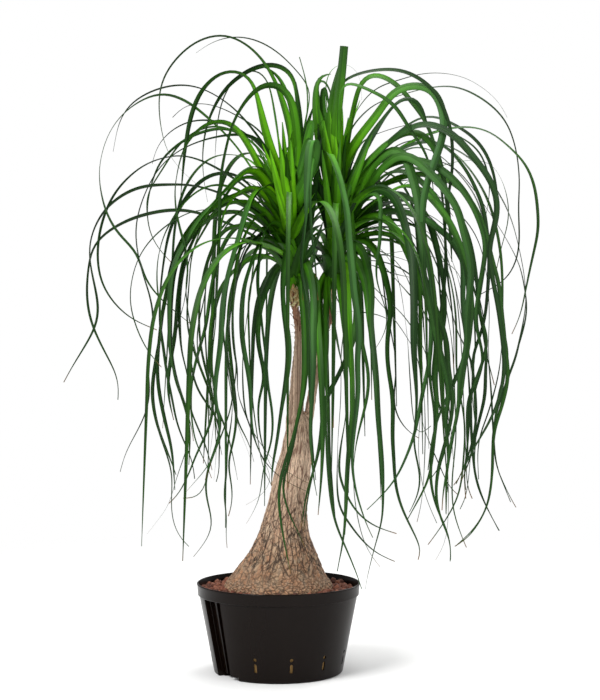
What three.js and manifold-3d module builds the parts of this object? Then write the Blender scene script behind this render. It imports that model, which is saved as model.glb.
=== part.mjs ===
// Potted ponytail palm: a nursery pot full of clay granules, one woody trunk with a swollen
// foot and two stems, and a head of long arching leaves on each stem.
// Millimetres, +Z up, front towards -Y. The origin is the middle of the pot's underside.

import * as THREE from 'three';
import { mergeVertices } from 'three/addons/utils/BufferGeometryUtils.js';
import Module from 'manifold-3d';

const wasm = await Module();
wasm.setup();

// Driving dimensions

const clearance = 0.4; // between pieces that touch

const pot = {
  height: 152,
  footRadius: 110,
  taper: 0.195, // growth of the radius for each millimetre of height
  wall: 2.5,
  floor: 3,
  corner: 4,
  bandHeight: 20,
  bandRadius: 138.2,
  rimRadius: 140,
  lip: 1.5,
  sides: 60,
};

const gaugeChannel = { from: -66, to: -45, depth: 10, top: 131.5 }; // degrees from the front
const footNotch = { from: -64, to: -36, inner: 80, height: 7 };
const drain = {
  count: 11,
  gapAt: -48.5, // degrees from the front, where the channel takes one place of the row
  holeRadius: 3,
  holeHeight: 40,
  slotWidth: 5,
  slotLow: 18,
  slotHigh: 33,
};

const granules = {
  level: 142,
  bump: 3.4,
  dip: -0.4, // share of a bump
  uneven: 0.6,
  rings: [127, 118, 109, 100, 91, 60], // radii, from the wall inwards
};

// Rows of height, middle x, middle y and radius
const footRows = [
  [70, 0, 0, 26],
  [76, 0, 0, 56],
  [92, -1, 0, 82],
  [118, -1, 0, 94],
  [145, -0.5, 0, 93.5],
  [169, 0.5, 0, 78.5],
  [199, 6, 0, 60.5],
  [228, 8, 0, 46.5],
  [258, 11, 0, 38.5],
  [297, 17, 0, 32.5],
  [337, 23.5, 0, 31],
  [376, 31, 0, 26.5],
  [396, 33, 0, 24.5],
  [425, 35, 0, 19],
  [440, 36, 0, 11],
];
const leftStemRows = [
  [392, 27, 0, 14],
  [431, 28, 0, 15.3],
  [471, 31, -2, 12.8],
  [510, 33, -4, 11.3],
  [550, 36, -6, 9.5],
  [589, 35, -8, 7.5],
  [609, 31, -9, 6.5],
  [629, 28, -10, 5.8],
  [648, 27, -10, 7.4],
];
const rightStemRows = [
  [385, 40, 2, 12],
  [420, 49, 5, 9.5],
  [460, 56, 9, 8.2],
  [500, 62, 13, 7.6],
  [560, 71, 18, 7.4],
  [600, 85, 22, 7.2],
  [648, 90, 25, 7.4],
];
const bark = {
  sides: 36,
  stemSides: 14,
  footStep: 17,
  stemStep: 26,
  relief: 1.5,
  plateSides: 3, // sides from one upright fissure to the next
  plateHeight: 48,
  plate: 0.5, // shares of the relief
  fissure: -0.6,
  uneven: 0.5,
  stemShare: 0.3,
};

// Leafy part of each stem: rows of height, middle x, middle y and radius
const leftCrownRows = [
  [648.4, 27, -10, 7],
  [672, 25, -10, 11],
  [710, 21, -11, 14],
  [760, 17, -12, 13],
  [800, 14, -12, 8],
];
const rightCrownRows = [
  [648.4, 90, 25, 7],
  [675, 92, 25, 11],
  [720, 96, 26, 14],
  [780, 101, 27, 14],
  [825, 104, 28, 8],
];

const crownCore = { sides: 8, step: 30 };
const blade = {
  keel: 2.2,
  segmentLength: 84,
  fewest: 5, // segments
  most: 14,
  taper: 0.6, // power that the width follows
  cutTaper: 0.3, // share of its width that a cut leaf has lost at its top
  untwist: 3, // power that the turn follows
  swing: 0.6, // share of the length over which a leaf reaches its depth
};
const apart = { samples: 80, distance: 17, steps: [0, 25, -25, 50, -50, 80, -80, 110, -110] };
const trunkRoom = 12; // between a leaf's middle and the bark
const eye = { x: 37, z: 550.5, distance: 2600 }; // where the leaf paths below are seen from

// Each leaf: height of its root, depth of its tip, width, turn in degrees at the root and at the
// tip (0 is edge-on to the front), then its path as seen from the front, in x and z pairs
const leftLeaves = [
  [780, -40, 15, 85, 8, 20, 850, 22, 905, 14, 957, 0, 996, -20, 1037, -50, 1071, -90, 1091, -124, 1087,
    -150, 1074, -176, 1050, -192, 1028, -203, 1000, -205, 973, -202, 935, -190, 890, -173, 866, -148, 841,
    -130, 828],
  [770, 60, 10, 60, 8, 33, 840, 40, 890, 48, 950, 56, 993, 49, 1010, 34, 1028, 4, 1059, -29, 1080, -60, 1089,
    -90, 1088, -118, 1078, -142, 1061],
  [790, -60, 17, 85, 28, 0, 853, -20, 915, -35, 975, -45, 1010, -60, 1026, -78, 1030, -100, 1026,
    -118, 1012, -130, 999, -145, 969, -155, 931, -161, 889, -165, 845, -168, 816],
  [785, 70, 16, 88, 8, 30, 850, 32, 905, 34, 970, 29, 1012, 20, 1030, 6, 1039, -12, 1043, -43, 1036,
    -64, 1024, -92, 1000, -114, 963, -126, 928, -131, 889, -129, 845, -122, 805],
  [782, 110, 10, 50, 10, 6, 860, 0, 920, -8, 970, -15, 1005, -25, 1025, -40, 1034, -60, 1030, -80, 1012,
    -95, 985, -104, 950, -108, 905, -110, 860],
  [740, -70, 12, 20, 25, -10, 810, -41, 853, -77, 905, -122, 949, -159, 978, -200, 991, -249, 971,
    -286, 933, -305, 882, -308, 850, -297, 791, -277, 753, -243, 717, -229, 673, -202, 638, -179, 618,
    -143, 589],
  [770, 80, 9, 10, 15, -10, 880, -29, 908, -54, 941, -82, 970, -117, 993, -145, 1004, -175, 1006,
    -205, 1000, -235, 987, -259, 968, -274, 941, -284, 891],
  [715, -30, 12, 30, 35, -40, 790, -100, 819, -147, 833, -182, 834, -235, 831, -266, 818, -293, 797,
    -309, 775, -323, 740, -324, 705, -315, 659, -309, 622, -314, 592, -342, 542, -354, 523, -369, 495],
  [735, 40, 10, 15, 20, -45, 820, -100, 859, -131, 875, -168, 885, -199, 880, -231, 868, -277, 826,
    -301, 777, -311, 720, -305, 670, -284, 633, -252, 604, -209, 585],
  [700, 90, 11, 25, 25, -50, 750, -115, 778, -147, 788, -182, 791, -217, 786, -252, 776, -287, 758,
    -305, 744, -319, 726, -326, 693, -329, 640, -321, 596, -298, 546, -279, 509, -274, 480, -276, 465],
  [705, -120, 12, 35, 40, -60, 780, -115, 792, -150, 788, -176, 775, -208, 751, -235, 719, -250, 680,
    -255, 635, -247, 598, -229, 556, -216, 537, -201, 521],
  [760, -90, 14, 50, 30, -22, 897, -48, 919, -75, 920, -112, 915, -155, 901, -185, 883, -212, 853,
    -233, 809, -243, 774, -245, 754, -242, 721, -232, 680, -219, 640, -214, 598, -220, 556, -225, 521,
    -221, 489, -223, 458, -232, 431, -247, 403, -264, 371, -272, 341],
  [775, -130, 15, 65, 30, -20, 840, -40, 880, -64, 920, -82, 940, -108, 944, -132, 933, -157, 906,
    -170, 871, -177, 836, -177, 807, -171, 768, -160, 730, -155, 700, -158, 650, -170, 600, -182, 550,
    -178, 500, -160, 454, -148, 415, -146, 394],
  [765, 110, 9, 12, 15, -30, 890, -73, 926, -95, 932, -117, 929, -150, 918, -180, 898, -199, 880,
    -212, 855, -222, 820, -226, 790, -219, 747, -199, 716, -183, 700],
  [768, 170, 8, 10, 10, -20, 885, -60, 925, -90, 940, -122, 946, -155, 943, -190, 923, -210, 897,
    -217, 870],
  [772, 210, 8, 10, 10, -8, 880, -30, 925, -75, 955, -108, 970, -138, 975, -165, 968, -182, 950],
  [785, -110, 16, 70, 40, 30, 850, 32, 905, 27, 957, 20, 985, 9, 1000, -3, 1007, -20, 1008, -38, 998,
    -64, 966, -80, 933, -89, 897, -97, 859, -99, 836, -100, 800, -101, 750, -104, 700, -106, 650,
    -110, 600, -114, 560, -118, 520, -112, 480],
  [770, -150, 15, 55, 25, -10, 845, -40, 870, -60, 858, -85, 832, -110, 803, -139, 772, -159, 737,
    -178, 703, -186, 657, -187, 605, -187, 567, -183, 523, -168, 482, -154, 443, -152, 410, -157, 380,
    -167, 353, -179, 317, -188, 283, -197, 271, -226, 234],
  [765, -60, 13, 40, 25, -20, 835, -60, 850, -90, 815, -111, 784, -134, 744, -150, 716, -158, 680,
    -158, 640, -150, 590, -138, 530, -122, 490, -107, 460, -97, 435, -103, 400, -107, 382, -119, 353,
    -126, 316, -122, 290, -113, 255, -115, 239, -131, 213, -146, 195],
  [775, -190, 17, 75, 40, -2, 835, -14, 838, -30, 828, -45, 810, -55, 790, -62, 760, -70, 735, -76, 715,
    -82, 695, -88, 670, -94, 640, -97, 605, -98, 570, -102, 540, -106, 510, -110, 480, -105, 450,
    -99, 420, -103, 395, -112, 366, -133, 334, -149, 319, -163, 301],
  [730, -80, 15, 60, 30, -10, 760, -35, 745, -55, 722, -66, 690, -74, 650, -78, 610, -77, 570, -74, 540,
    -68, 510, -72, 480, -60, 450, -48, 420, -38, 390, -28, 365, -12, 345, 8, 328, 25, 318, 48, 308],
  [720, -160, 13, 55, 35, -5, 755, -25, 745, -38, 722, -47, 695, -57, 665, -62, 630, -63, 590, -61, 560,
    -55, 530, -50, 500, -47, 470, -47, 440, -44, 410, -36, 385, -27, 360, -12, 340, -14, 317, -43, 290,
    -56, 284],
  [715, -135, 14, 80, 60, 0, 770, -15, 772, -25, 750, -30, 720, -34, 690, -35, 660, -30, 620, -27, 590,
    -22, 550, -19, 520, -18, 490, -12, 460, -9, 430, -10, 400, -18, 370, -26, 346, -33, 292, -55, 252],
  [690, 90, 12, 50, 30, 10, 705, -2, 697, -12, 672, -25, 645, -33, 610, -36, 575, -33, 550, -27, 525,
    -23, 500, -30, 480, -35, 455, -34, 430, -31, 400, -22, 370, -12, 350],
  [750, -110, 18, 75, 75, 22, 768, 14, 735, 10, 700, 6, 670, 6, 640, 9, 610, 14, 585, 17, 560, 17, 530,
    13, 500, 8, 470, 3, 440, -2, 400, -6, 375, -11, 350, -12, 317],
  [785, -150, 17, 25, 85, 34, 850, 48, 915, 58, 950, 60, 935, 55, 906, 51, 880, 49, 853, 47, 825,
    46, 800, 45, 770, 42, 745, 38, 720, 38, 695, 42, 670, 47, 650, 51, 620, 53, 590, 54, 560, 55, 540,
    55, 520, 54, 480, 53, 440, 52, 410, 54, 380, 57, 355],
  [690, -105, 12, 60, 40, 38, 690, 44, 650, 47, 600, 48, 560, 47, 520, 45, 485, 39, 455, 31, 420,
    23, 390, 14, 365, 8, 345, 3, 325, 0, 300, 1, 280, 4, 255, 8, 230, 14, 200, 18, 180, 21, 166],
  [680, -82, 10, 60, 40, 36, 680, 40, 640, 43, 600, 44, 560, 44, 520, 41, 480, 36, 440, 28, 400,
    20, 365, 10, 335, 6, 315, 10, 295, 18, 270, 28, 248, 38, 230, 45, 212],
  [740, -100, 12, 30, 30, -60, 820, -110, 835, -150, 815, -185, 770, -205, 720, -208, 660, -200, 600,
    -206, 550, -217, 505, -216, 460, -205, 410, -190, 367, -182, 335, -184, 294, -182, 258, -168, 225,
    -154, 213],
  [735, 60, 11, 20, 20, -70, 850, -120, 850, -160, 810, -185, 760, -197, 700, -203, 640, -203, 590,
    -198, 558, -192, 510, -183, 468, -175, 426, -162, 392, -148, 360, -144, 329],
  [705, 40, 11, 30, 25, -40, 760, -90, 760, -115, 720, -130, 670, -136, 610, -132, 550, -120, 500,
    -112, 460, -118, 420, -135, 385, -146, 360, -151, 345, -167, 311, -177, 295, -188, 287],
  [700, 130, 10, 25, 20, -25, 755, -60, 770, -90, 740, -108, 690, -118, 640, -125, 590, -140, 540,
    -150, 490, -150, 440, -142, 390, -126, 359, -115, 330],
  [710, -30, 11, 35, 25, -30, 740, -85, 722, -115, 690, -140, 640, -150, 590, -150, 530, -140, 485,
    -118, 452, -105, 435, -100, 400, -103, 361, -100, 338, -107, 324],
  [700, -60, 12, 40, 30, -20, 740, -60, 742, -80, 700, -92, 650, -95, 600, -92, 560, -88, 520, -82, 485,
    -78, 450, -82, 415, -89, 373, -89, 336, -94, 297, -88, 265, -91, 230, -88, 210],
  [685, 70, 10, 35, 25, -30, 715, -62, 700, -78, 660, -86, 610, -84, 560, -80, 520, -76, 480, -72, 440,
    -76, 400, -87, 353, -80, 318, -80, 283, -86, 265],
  [710, -120, 13, 50, 35, -15, 742, -40, 740, -68, 720, -85, 680, -93, 640, -96, 600, -92, 560, -86, 520,
    -80, 480, -75, 440, -64, 405, -52, 378, -47, 360],
  [790, 20, 7, 80, 60, 35, 880, 50, 960, 49, 1005, 36, 1054],
  [795, -30, 14, 88, 85, 14, 835, 8, 870, 2, 900, -2, 925],
  [795, 0, 16, 88, 85, 20, 845, 24, 890, 24, 925, 22, 950],
  [795, 30, 16, 88, 85, 24, 850, 33, 890, 38, 930, 40, 955],
  [792, -60, 15, 85, 80, 6, 825, -8, 855, -20, 885, -28, 905],
  [780, -140, 13, 60, 88, 34, 850, 48, 905, 57, 922, 58, 900, 54, 860, 52, 820, 53, 780, 56, 745, 61, 710,
    64, 675],
  [735, -50, 17, 88, 80, 30, 765, 36, 800, 38, 840, 40, 880, 44, 915, 47, 940],
  [720, -60, 19, 85, 80, 34, 745, 44, 785, 50, 825, 53, 865, 56, 905, 60, 935],
  [700, -40, 19, 85, 80, 38, 722, 50, 760, 58, 800, 64, 840, 68, 880, 74, 915],
  [690, -50, 16, 80, 80, 36, 700, 52, 715, 66, 740, 76, 770],
  [770, -40, 18, 88, 85, 10, 800, 2, 830, -6, 860, -12, 880],
  [760, -70, 18, 88, 85, 17, 790, 20, 830, 25, 870, 30, 900],
  [745, -90, 15, 88, 88, 12, 765, 6, 790, -2, 820, -8, 842],
  [705, -120, 15, 70, 60, 36, 716, 48, 700, 56, 670, 60, 630, 60, 590, 60, 550, 59, 500, 56, 450, 55, 410,
    57, 370, 60, 330, 66, 300],
];
const rightLeaves = [
  [800, -110, 17, 72, 30, 112, 870, 130, 905, 150, 932, 172, 960, 188, 985, 205, 1000, 225, 1006,
    245, 1006, 262, 1001, 273, 988, 280, 970, 285, 948, 284, 925, 279, 905, 272, 885, 264, 862, 256, 840,
    250, 815, 248, 790, 247, 770, 250, 745, 255, 720, 258, 700, 262, 680, 266, 650, 267, 620, 264, 590,
    262, 560, 260, 530, 253, 500, 247, 475, 243, 450, 238, 425, 232, 400, 224, 378, 213, 352, 202, 330,
    180, 303, 165, 288, 152, 276],
  [810, -40, 14, 50, 30, 118, 900, 130, 965, 145, 1015, 160, 1025, 180, 1021, 195, 1012, 208, 1002,
    222, 985, 237, 965, 250, 948, 260, 925, 267, 905, 272, 885, 275, 865, 276, 845, 281, 815, 283, 780,
    286, 740, 287, 700, 284, 660, 280, 620, 278, 580, 280, 540, 283, 500, 283, 460, 285, 430, 289, 400,
    285, 370, 275, 345, 262, 330],
  [815, -80, 10, 20, 60, 95, 960, 105, 1008, 120, 1018, 140, 1026, 165, 1031, 190, 1033, 212, 1031,
    233, 1023, 250, 1012, 262, 1002, 272, 992, 282, 970, 289, 953, 295, 935, 298, 915, 299, 890, 299, 865,
    297, 845, 293, 825, 289, 800, 286, 775, 286, 745, 289, 710, 290, 680, 296, 640, 300, 600, 302, 560,
    301, 520],
  [805, 120, 8, 8, 8, 120, 930, 140, 970, 165, 998, 185, 1008, 205, 1013, 225, 1020, 245, 1025,
    272, 1027, 300, 1024, 325, 1017, 345, 1005, 362, 993, 378, 977, 388, 962, 393, 950],
  [800, 30, 10, 15, 50, 120, 920, 145, 955, 175, 978, 200, 984, 225, 993, 250, 999, 275, 1003, 297, 1004,
    320, 998, 340, 988, 360, 975, 380, 957, 395, 935, 403, 913, 409, 890, 412, 865, 414, 845, 413, 820,
    412, 795, 413, 770, 414, 745, 413, 725, 410, 708, 403, 690, 395, 677, 385, 667, 373, 660, 360, 653,
    345, 645],
  [770, -30, 12, 20, 55, 150, 850, 200, 890, 250, 918, 290, 930, 325, 934, 350, 930, 365, 924, 378, 915,
    395, 900, 410, 886, 423, 872, 433, 852, 440, 832, 444, 805, 446, 780, 447, 760, 443, 738, 437, 712,
    431, 685, 427, 665, 423, 645, 419, 625, 414, 605, 407, 590, 401, 578],
  [755, 60, 10, 20, 25, 160, 830, 215, 868, 262, 878, 300, 865, 325, 840, 345, 812, 360, 790, 372, 772,
    385, 752, 400, 725, 412, 702, 418, 682, 422, 660, 426, 635, 427, 620, 424, 600, 419, 580, 413, 560,
    405, 535, 397, 508, 391, 482, 385, 458, 378, 435, 372, 418],
  [790, -20, 13, 35, 30, 130, 850, 170, 890, 200, 918, 220, 935, 240, 948, 260, 953, 278, 949, 297, 940,
    315, 930, 332, 918, 347, 903, 358, 885, 366, 865, 371, 845, 375, 820, 375, 795, 374, 775, 370, 755,
    364, 735, 357, 715, 352, 695, 346, 675, 341, 655, 342, 630, 348, 600, 354, 570, 357, 540, 365, 515,
    371, 490],
  [785, -150, 16, 65, 60, 140, 855, 180, 895, 215, 925, 240, 938, 265, 938, 290, 927, 305, 916, 320, 900,
    335, 882, 348, 865, 358, 852, 368, 833, 375, 810, 375, 780, 368, 755, 361, 722, 363, 700, 367, 675,
    372, 650, 377, 625, 381, 600, 385, 570, 388, 540, 388, 510, 384, 485, 378, 462, 371, 445, 362, 425,
    350, 405, 338, 385, 328, 368, 320, 348, 312, 330, 301, 318],
  [780, 90, 11, 60, 40, 140, 905, 170, 922, 200, 932, 225, 938, 250, 940, 275, 936, 295, 925, 320, 912,
    340, 898, 352, 880, 358, 862, 362, 845, 363, 820, 360, 800, 356, 780],
  [770, -60, 13, 40, 30, 150, 850, 200, 890, 235, 905, 262, 909, 285, 902, 298, 890, 310, 875, 325, 855,
    335, 835, 345, 812, 352, 795, 355, 775, 357, 755, 361, 730, 362, 700, 360, 670, 358, 640, 355, 610,
    348, 580, 340, 560, 333, 540, 333, 520, 336, 500, 333, 480, 329, 460, 327, 430, 326, 400, 324, 375,
    320, 350, 319, 330, 322, 295],
  [765, 70, 12, 40, 30, 150, 830, 185, 870, 225, 898, 248, 899, 270, 890, 288, 876, 303, 860, 317, 845,
    328, 830, 338, 815, 345, 797, 350, 780, 354, 760, 357, 740, 361, 715, 368, 690, 377, 665, 381, 640,
    384, 610, 386, 585, 383, 560, 381, 530, 377, 505, 371, 480, 364, 455, 356, 430, 346, 405, 342, 375,
    343, 345, 344, 328],
  [760, -130, 19, 65, 35, 130, 800, 150, 850, 172, 880, 190, 896, 205, 899, 217, 887, 226, 862, 232, 842,
    238, 818, 241, 795, 243, 770, 246, 745, 248, 720, 247, 695, 250, 670, 258, 645, 262, 620, 268, 590,
    275, 560, 283, 530, 290, 505, 294, 480, 290, 455, 286, 430, 290, 400, 292, 360, 288, 330, 289, 300,
    288, 268],
  [750, -160, 18, 60, 50, 125, 780, 155, 835, 185, 872, 210, 888, 230, 882, 250, 866, 268, 848, 282, 833,
    295, 815, 308, 795, 314, 775, 318, 755, 323, 735, 328, 715, 332, 690, 330, 660, 326, 630, 323, 600,
    324, 575, 322, 550, 314, 520, 309, 495, 311, 470, 308, 445, 303, 420, 297, 395, 293, 370, 290, 345,
    285, 320, 282, 300, 281, 275],
  [735, -170, 20, 70, 35, 112, 770, 140, 812, 162, 827, 180, 829, 195, 818, 206, 798, 214, 775, 220, 750,
    227, 722, 230, 700, 232, 670, 233, 640, 233, 610, 232, 580, 232, 555, 233, 530, 235, 500, 237, 470,
    236, 440, 233, 415, 231, 395, 235, 370, 241, 348, 244, 330, 242, 310, 235, 290, 225, 272],
  [725, -100, 15, 50, 30, 118, 750, 145, 775, 170, 783, 188, 775, 203, 755, 214, 735, 222, 715, 232, 690,
    243, 665, 255, 640, 262, 610, 270, 580, 272, 550, 266, 515, 270, 480, 273, 455, 271, 425, 268, 400,
    266, 375, 262, 345, 256, 322, 246, 303, 237, 287, 228, 270, 221, 258],
  [715, -150, 15, 60, 40, 115, 735, 135, 735, 147, 712, 153, 690, 158, 665, 160, 640, 158, 615, 158, 595,
    161, 565, 165, 530, 168, 500, 170, 460, 172, 425, 175, 390, 178, 355, 179, 325, 179, 300, 179, 270,
    176, 250, 170, 230, 163, 205, 157, 180, 151, 155, 149, 139],
  [790, -190, 18, 60, 70, 84, 895, 94, 875, 103, 850, 110, 822, 116, 795, 119, 765, 121, 735, 124, 705,
    127, 675, 129, 650, 133, 625, 137, 600, 139, 575, 136, 550, 135, 520, 137, 490, 135, 460, 132, 430,
    128, 400, 126, 370, 127, 340, 132, 310, 139, 285, 147, 262, 155, 240, 162, 228],
  [770, -165, 13, 55, 30, 108, 840, 118, 830, 125, 790, 129, 750, 131, 700, 133, 650, 138, 600, 145, 555,
    152, 525, 155, 500, 153, 475, 148, 450, 142, 430, 136, 405, 131, 380, 129, 355, 128, 325, 131, 290,
    136, 260, 142, 235, 150, 212, 160, 195, 175, 177],
  [700, -110, 13, 70, 60, 100, 690, 108, 650, 112, 610, 117, 570, 122, 540, 127, 510, 128, 480, 126, 440,
    123, 410, 120, 380, 118, 350, 116, 310, 115, 270, 113, 240, 111, 220, 107, 200, 103, 182, 101, 170],
  [690, -115, 14, 70, 50, 85, 660, 83, 610, 84, 570, 83, 530, 84, 480, 83, 440, 83, 400, 85, 360,
    88, 320, 91, 290, 96, 262, 103, 240, 112, 220, 122, 197, 131, 175, 138, 157, 143, 140],
  [685, -90, 13, 60, 40, 77, 665, 73, 620, 70, 580, 69, 540, 71, 500, 75, 460, 80, 425, 74, 395, 66, 362,
    58, 332, 53, 310, 50, 290, 46, 262, 42, 240],
  [695, -70, 12, 40, 25, 88, 665, 92, 620, 98, 590, 103, 560, 108, 535, 113, 515, 114, 490, 116, 465,
    117, 440, 113, 415, 108, 388, 105, 362, 103, 342, 108, 325, 115, 305, 122, 292, 130, 277, 145, 262,
    160, 250, 180, 242, 203, 235],
  [690, 50, 10, 30, 20, 110, 680, 117, 640, 115, 600, 108, 560, 107, 520, 107, 480, 105, 440, 102, 400,
    101, 365, 100, 335, 101, 300, 106, 275, 120, 255, 130, 240, 145, 222, 160, 207, 180, 195, 200, 187],
  [710, -60, 13, 50, 30, 120, 740, 150, 742, 168, 722, 178, 695, 188, 660, 194, 620, 190, 590, 187, 555,
    188, 530, 190, 510, 194, 490, 197, 465, 197, 440, 196, 410, 196, 390, 198, 370, 199, 345, 200, 325,
    205, 300, 212, 278, 222, 257, 233, 235, 243, 215, 248, 200, 240, 190],
  [705, 60, 10, 30, 20, 125, 730, 155, 728, 172, 700, 180, 660, 184, 625, 190, 595, 197, 560, 201, 535,
    201, 505, 198, 475, 199, 450, 207, 430, 218, 415, 232, 402, 241, 399],
  [745, -100, 10, 40, 30, 125, 790, 150, 818, 168, 825, 176, 808, 175, 780, 175, 750, 173, 725, 168, 700,
    166, 680, 170, 660, 178, 640, 186, 615, 187, 590, 178, 570, 168, 555],
  [700, 40, 12, 35, 30, 120, 710, 145, 722, 165, 710, 185, 690, 205, 668, 222, 648, 240, 628, 255, 608,
    264, 588, 270, 565, 277, 540, 284, 515, 290, 490, 293, 478],
  [695, 90, 11, 35, 25, 125, 690, 150, 675, 165, 655, 185, 638, 205, 620, 222, 600, 238, 575, 250, 552,
    258, 530, 262, 505, 268, 480, 277, 455, 284, 435, 290, 405],
  [690, 130, 10, 25, 20, 120, 680, 145, 665, 160, 648, 175, 630, 195, 608, 212, 585, 225, 565, 236, 545,
    242, 520, 246, 495, 245, 470, 243, 445, 248, 425, 253, 405, 262, 385, 272, 362, 283, 338, 290, 320,
    298, 308, 308, 302],
  [700, 170, 9, 15, 15, 115, 700, 140, 700, 165, 695, 185, 685, 205, 679, 225, 676, 240, 672, 252, 665,
    259, 650, 262, 625, 262, 600, 260, 570],
  [705, 190, 9, 15, 15, 125, 715, 150, 712, 180, 714, 205, 719, 230, 722, 250, 716, 265, 711, 282, 703,
    295, 697, 308, 688, 315, 670, 318, 650],
  [745, 30, 14, 50, 35, 150, 790, 200, 805, 240, 808, 270, 812, 290, 813, 303, 808, 309, 795, 311, 775,
    314, 752, 318, 730, 323, 712, 328, 690, 331, 665, 330, 640, 326, 615, 325, 590, 327, 560],
  [735, -70, 16, 60, 50, 150, 775, 200, 790, 240, 780, 262, 770, 278, 755, 292, 745, 305, 733, 315, 718,
    318, 695, 317, 665, 316, 640, 318, 610, 321, 580, 325, 560, 320, 540, 310, 515, 300, 497, 292, 478,
    284, 458, 276, 440],
  [765, -120, 16, 60, 40, 150, 840, 200, 875, 240, 878, 270, 868, 295, 850, 312, 833, 325, 815, 337, 795,
    345, 775, 352, 755, 357, 735, 356, 715, 352, 690, 347, 665, 344, 640, 338, 615, 340, 590, 345, 565,
    352, 545, 350, 520, 343, 500, 334, 470, 338, 450, 340, 425],
  [755, -90, 13, 55, 45, 160, 820, 220, 850, 270, 850, 310, 830, 335, 800, 350, 770, 358, 745, 363, 720,
    370, 695, 377, 670, 381, 645, 383, 615, 387, 585, 389, 555, 393, 530, 395, 505, 388, 470, 380, 440,
    373, 425, 370, 405, 368, 385, 368, 360, 367, 335, 365, 312, 362, 293, 356, 275, 347, 258, 338, 243,
    330, 232, 318, 221, 303, 213],
  [740, 80, 11, 35, 25, 165, 790, 225, 812, 275, 805, 315, 780, 340, 745, 352, 710, 358, 675, 361, 640,
    362, 600, 360, 560, 362, 520, 366, 480, 368, 440, 369, 400, 372, 360, 380, 335, 390, 315, 400, 293,
    408, 280],
  [735, 110, 10, 30, 25, 160, 780, 210, 795, 255, 785, 290, 760, 312, 725, 325, 690, 333, 650, 336, 600,
    338, 560, 335, 520, 332, 480, 336, 440, 340, 410, 337, 380, 336, 350, 342, 325, 348, 305, 356, 285,
    364, 270, 372, 252, 380, 240],
  [730, 20, 12, 40, 25, 150, 765, 200, 775, 240, 760, 270, 730, 288, 695, 298, 655, 304, 610, 305, 560,
    305, 520, 310, 480, 318, 440, 320, 400, 318, 370, 316, 340, 312, 312, 305, 290, 297, 275, 285, 255,
    272, 236, 257, 216],
  [725, -60, 13, 45, 30, 140, 745, 180, 752, 215, 735, 240, 705, 255, 665, 262, 620, 262, 570, 258, 520,
    262, 480, 268, 440, 268, 400, 262, 360, 261, 330, 265, 305, 270, 285, 278, 265, 288, 245, 294, 225,
    297, 205, 295, 187],
  [720, 60, 12, 40, 25, 140, 735, 190, 740, 230, 720, 262, 690, 280, 650, 290, 610, 297, 570, 300, 530,
    302, 490, 303, 450, 305, 410, 302, 370, 298, 330, 298, 300, 300, 275, 305, 258, 311, 240, 318, 222,
    323, 211],
  [715, 120, 10, 30, 20, 140, 720, 175, 722, 205, 700, 225, 665, 236, 620, 240, 570, 243, 520, 245, 470,
    243, 430, 240, 390, 242, 350, 247, 320, 252, 300, 258, 285, 265, 268, 272, 253],
  [712, 140, 10, 30, 20, 128, 745, 145, 755, 170, 762, 200, 760, 220, 750, 235, 730, 245, 700, 250, 660,
    252, 620, 248, 590],
  [800, -70, 14, 60, 35, 102, 900, 103, 960, 107, 1008, 117, 1014, 132, 1009, 150, 1001, 170, 992,
    188, 982, 200, 972, 210, 957, 220, 940, 230, 922, 243, 907, 253, 890, 260, 868, 264, 850, 266, 825],
  [800, 30, 14, 88, 75, 90, 880, 82, 930, 70, 975, 64, 1002, 69, 1020, 79, 1018, 88, 1000, 94, 975],
  [810, 60, 7, 15, 15, 85, 950, 80, 1000, 86, 1030, 101, 1043, 115, 1045, 133, 1035, 141, 1020, 143, 1000,
    143, 980],
  [815, -30, 17, 88, 80, 98, 880, 92, 925, 88, 960],
  [820, 20, 16, 88, 80, 106, 900, 108, 955, 104, 1005],
  [820, 50, 15, 80, 80, 110, 880, 116, 920, 120, 950],
  [812, -60, 17, 88, 88, 96, 850, 88, 885, 82, 915, 78, 945],
  [780, -30, 18, 88, 85, 100, 830, 100, 870, 98, 905, 96, 935],
  [760, -60, 19, 85, 80, 92, 795, 84, 835, 76, 875, 70, 905, 68, 940],
  [735, -60, 19, 85, 80, 86, 765, 77, 800, 70, 840, 64, 880, 60, 910],
  [770, 0, 17, 85, 80, 106, 810, 110, 850, 112, 885, 116, 920],
  [750, -50, 17, 85, 80, 108, 785, 118, 815, 126, 845, 134, 870],
  [725, -60, 16, 85, 80, 106, 750, 120, 780, 132, 805, 142, 825],
  [690, -60, 15, 60, 75, 120, 695, 133, 655, 135, 610, 128, 568, 114, 532, 90, 484, 78, 461, 75, 422,
    71, 391, 63, 353, 54, 327, 47, 300, 42, 267, 39, 245],
];
// The one upright leaf of the right head whose top was cut square
const cutLeaf = [815, -40, 20, 88, 88, 98, 900, 100, 950, 105, 994, 109, 1030, 113, 1073];

// Leaves behind and in front of the heads, which follow a rule and are not seen one by one.
// Pairs are the least and the most, and angles are in degrees.
const fullness = {
  behind: 14,
  before: 6,
  beforeRise: 0.4, // how high the roots of those before the heads go, next to those behind
  skip: 7, // from one leaf's place in the order of heights to the next
  rootShare: [0.15, 0.95], // of the crown's leafy height
  spread: 62, // to each side of straight back or straight to the front
  golden: 0.618,
  sway: 50,
  launch: [12, 72],
  hang: [-84, -90],
  bendShare: [0.45, 0.7], // of the length, where the leaf hangs
  length: [480, 800],
  width: 13,
  widthShare: [0.8, 1.2],
  tipTurn: 20,
  tipHeight: 200,
  steps: 40,
};

// Shared helpers

const radians = THREE.MathUtils.degToRad;

function seededRandom(seed) {
  let state = seed;
  return () => {
    state = (state * 16807) % 2147483647;
    return state / 2147483647;
  };
}

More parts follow.
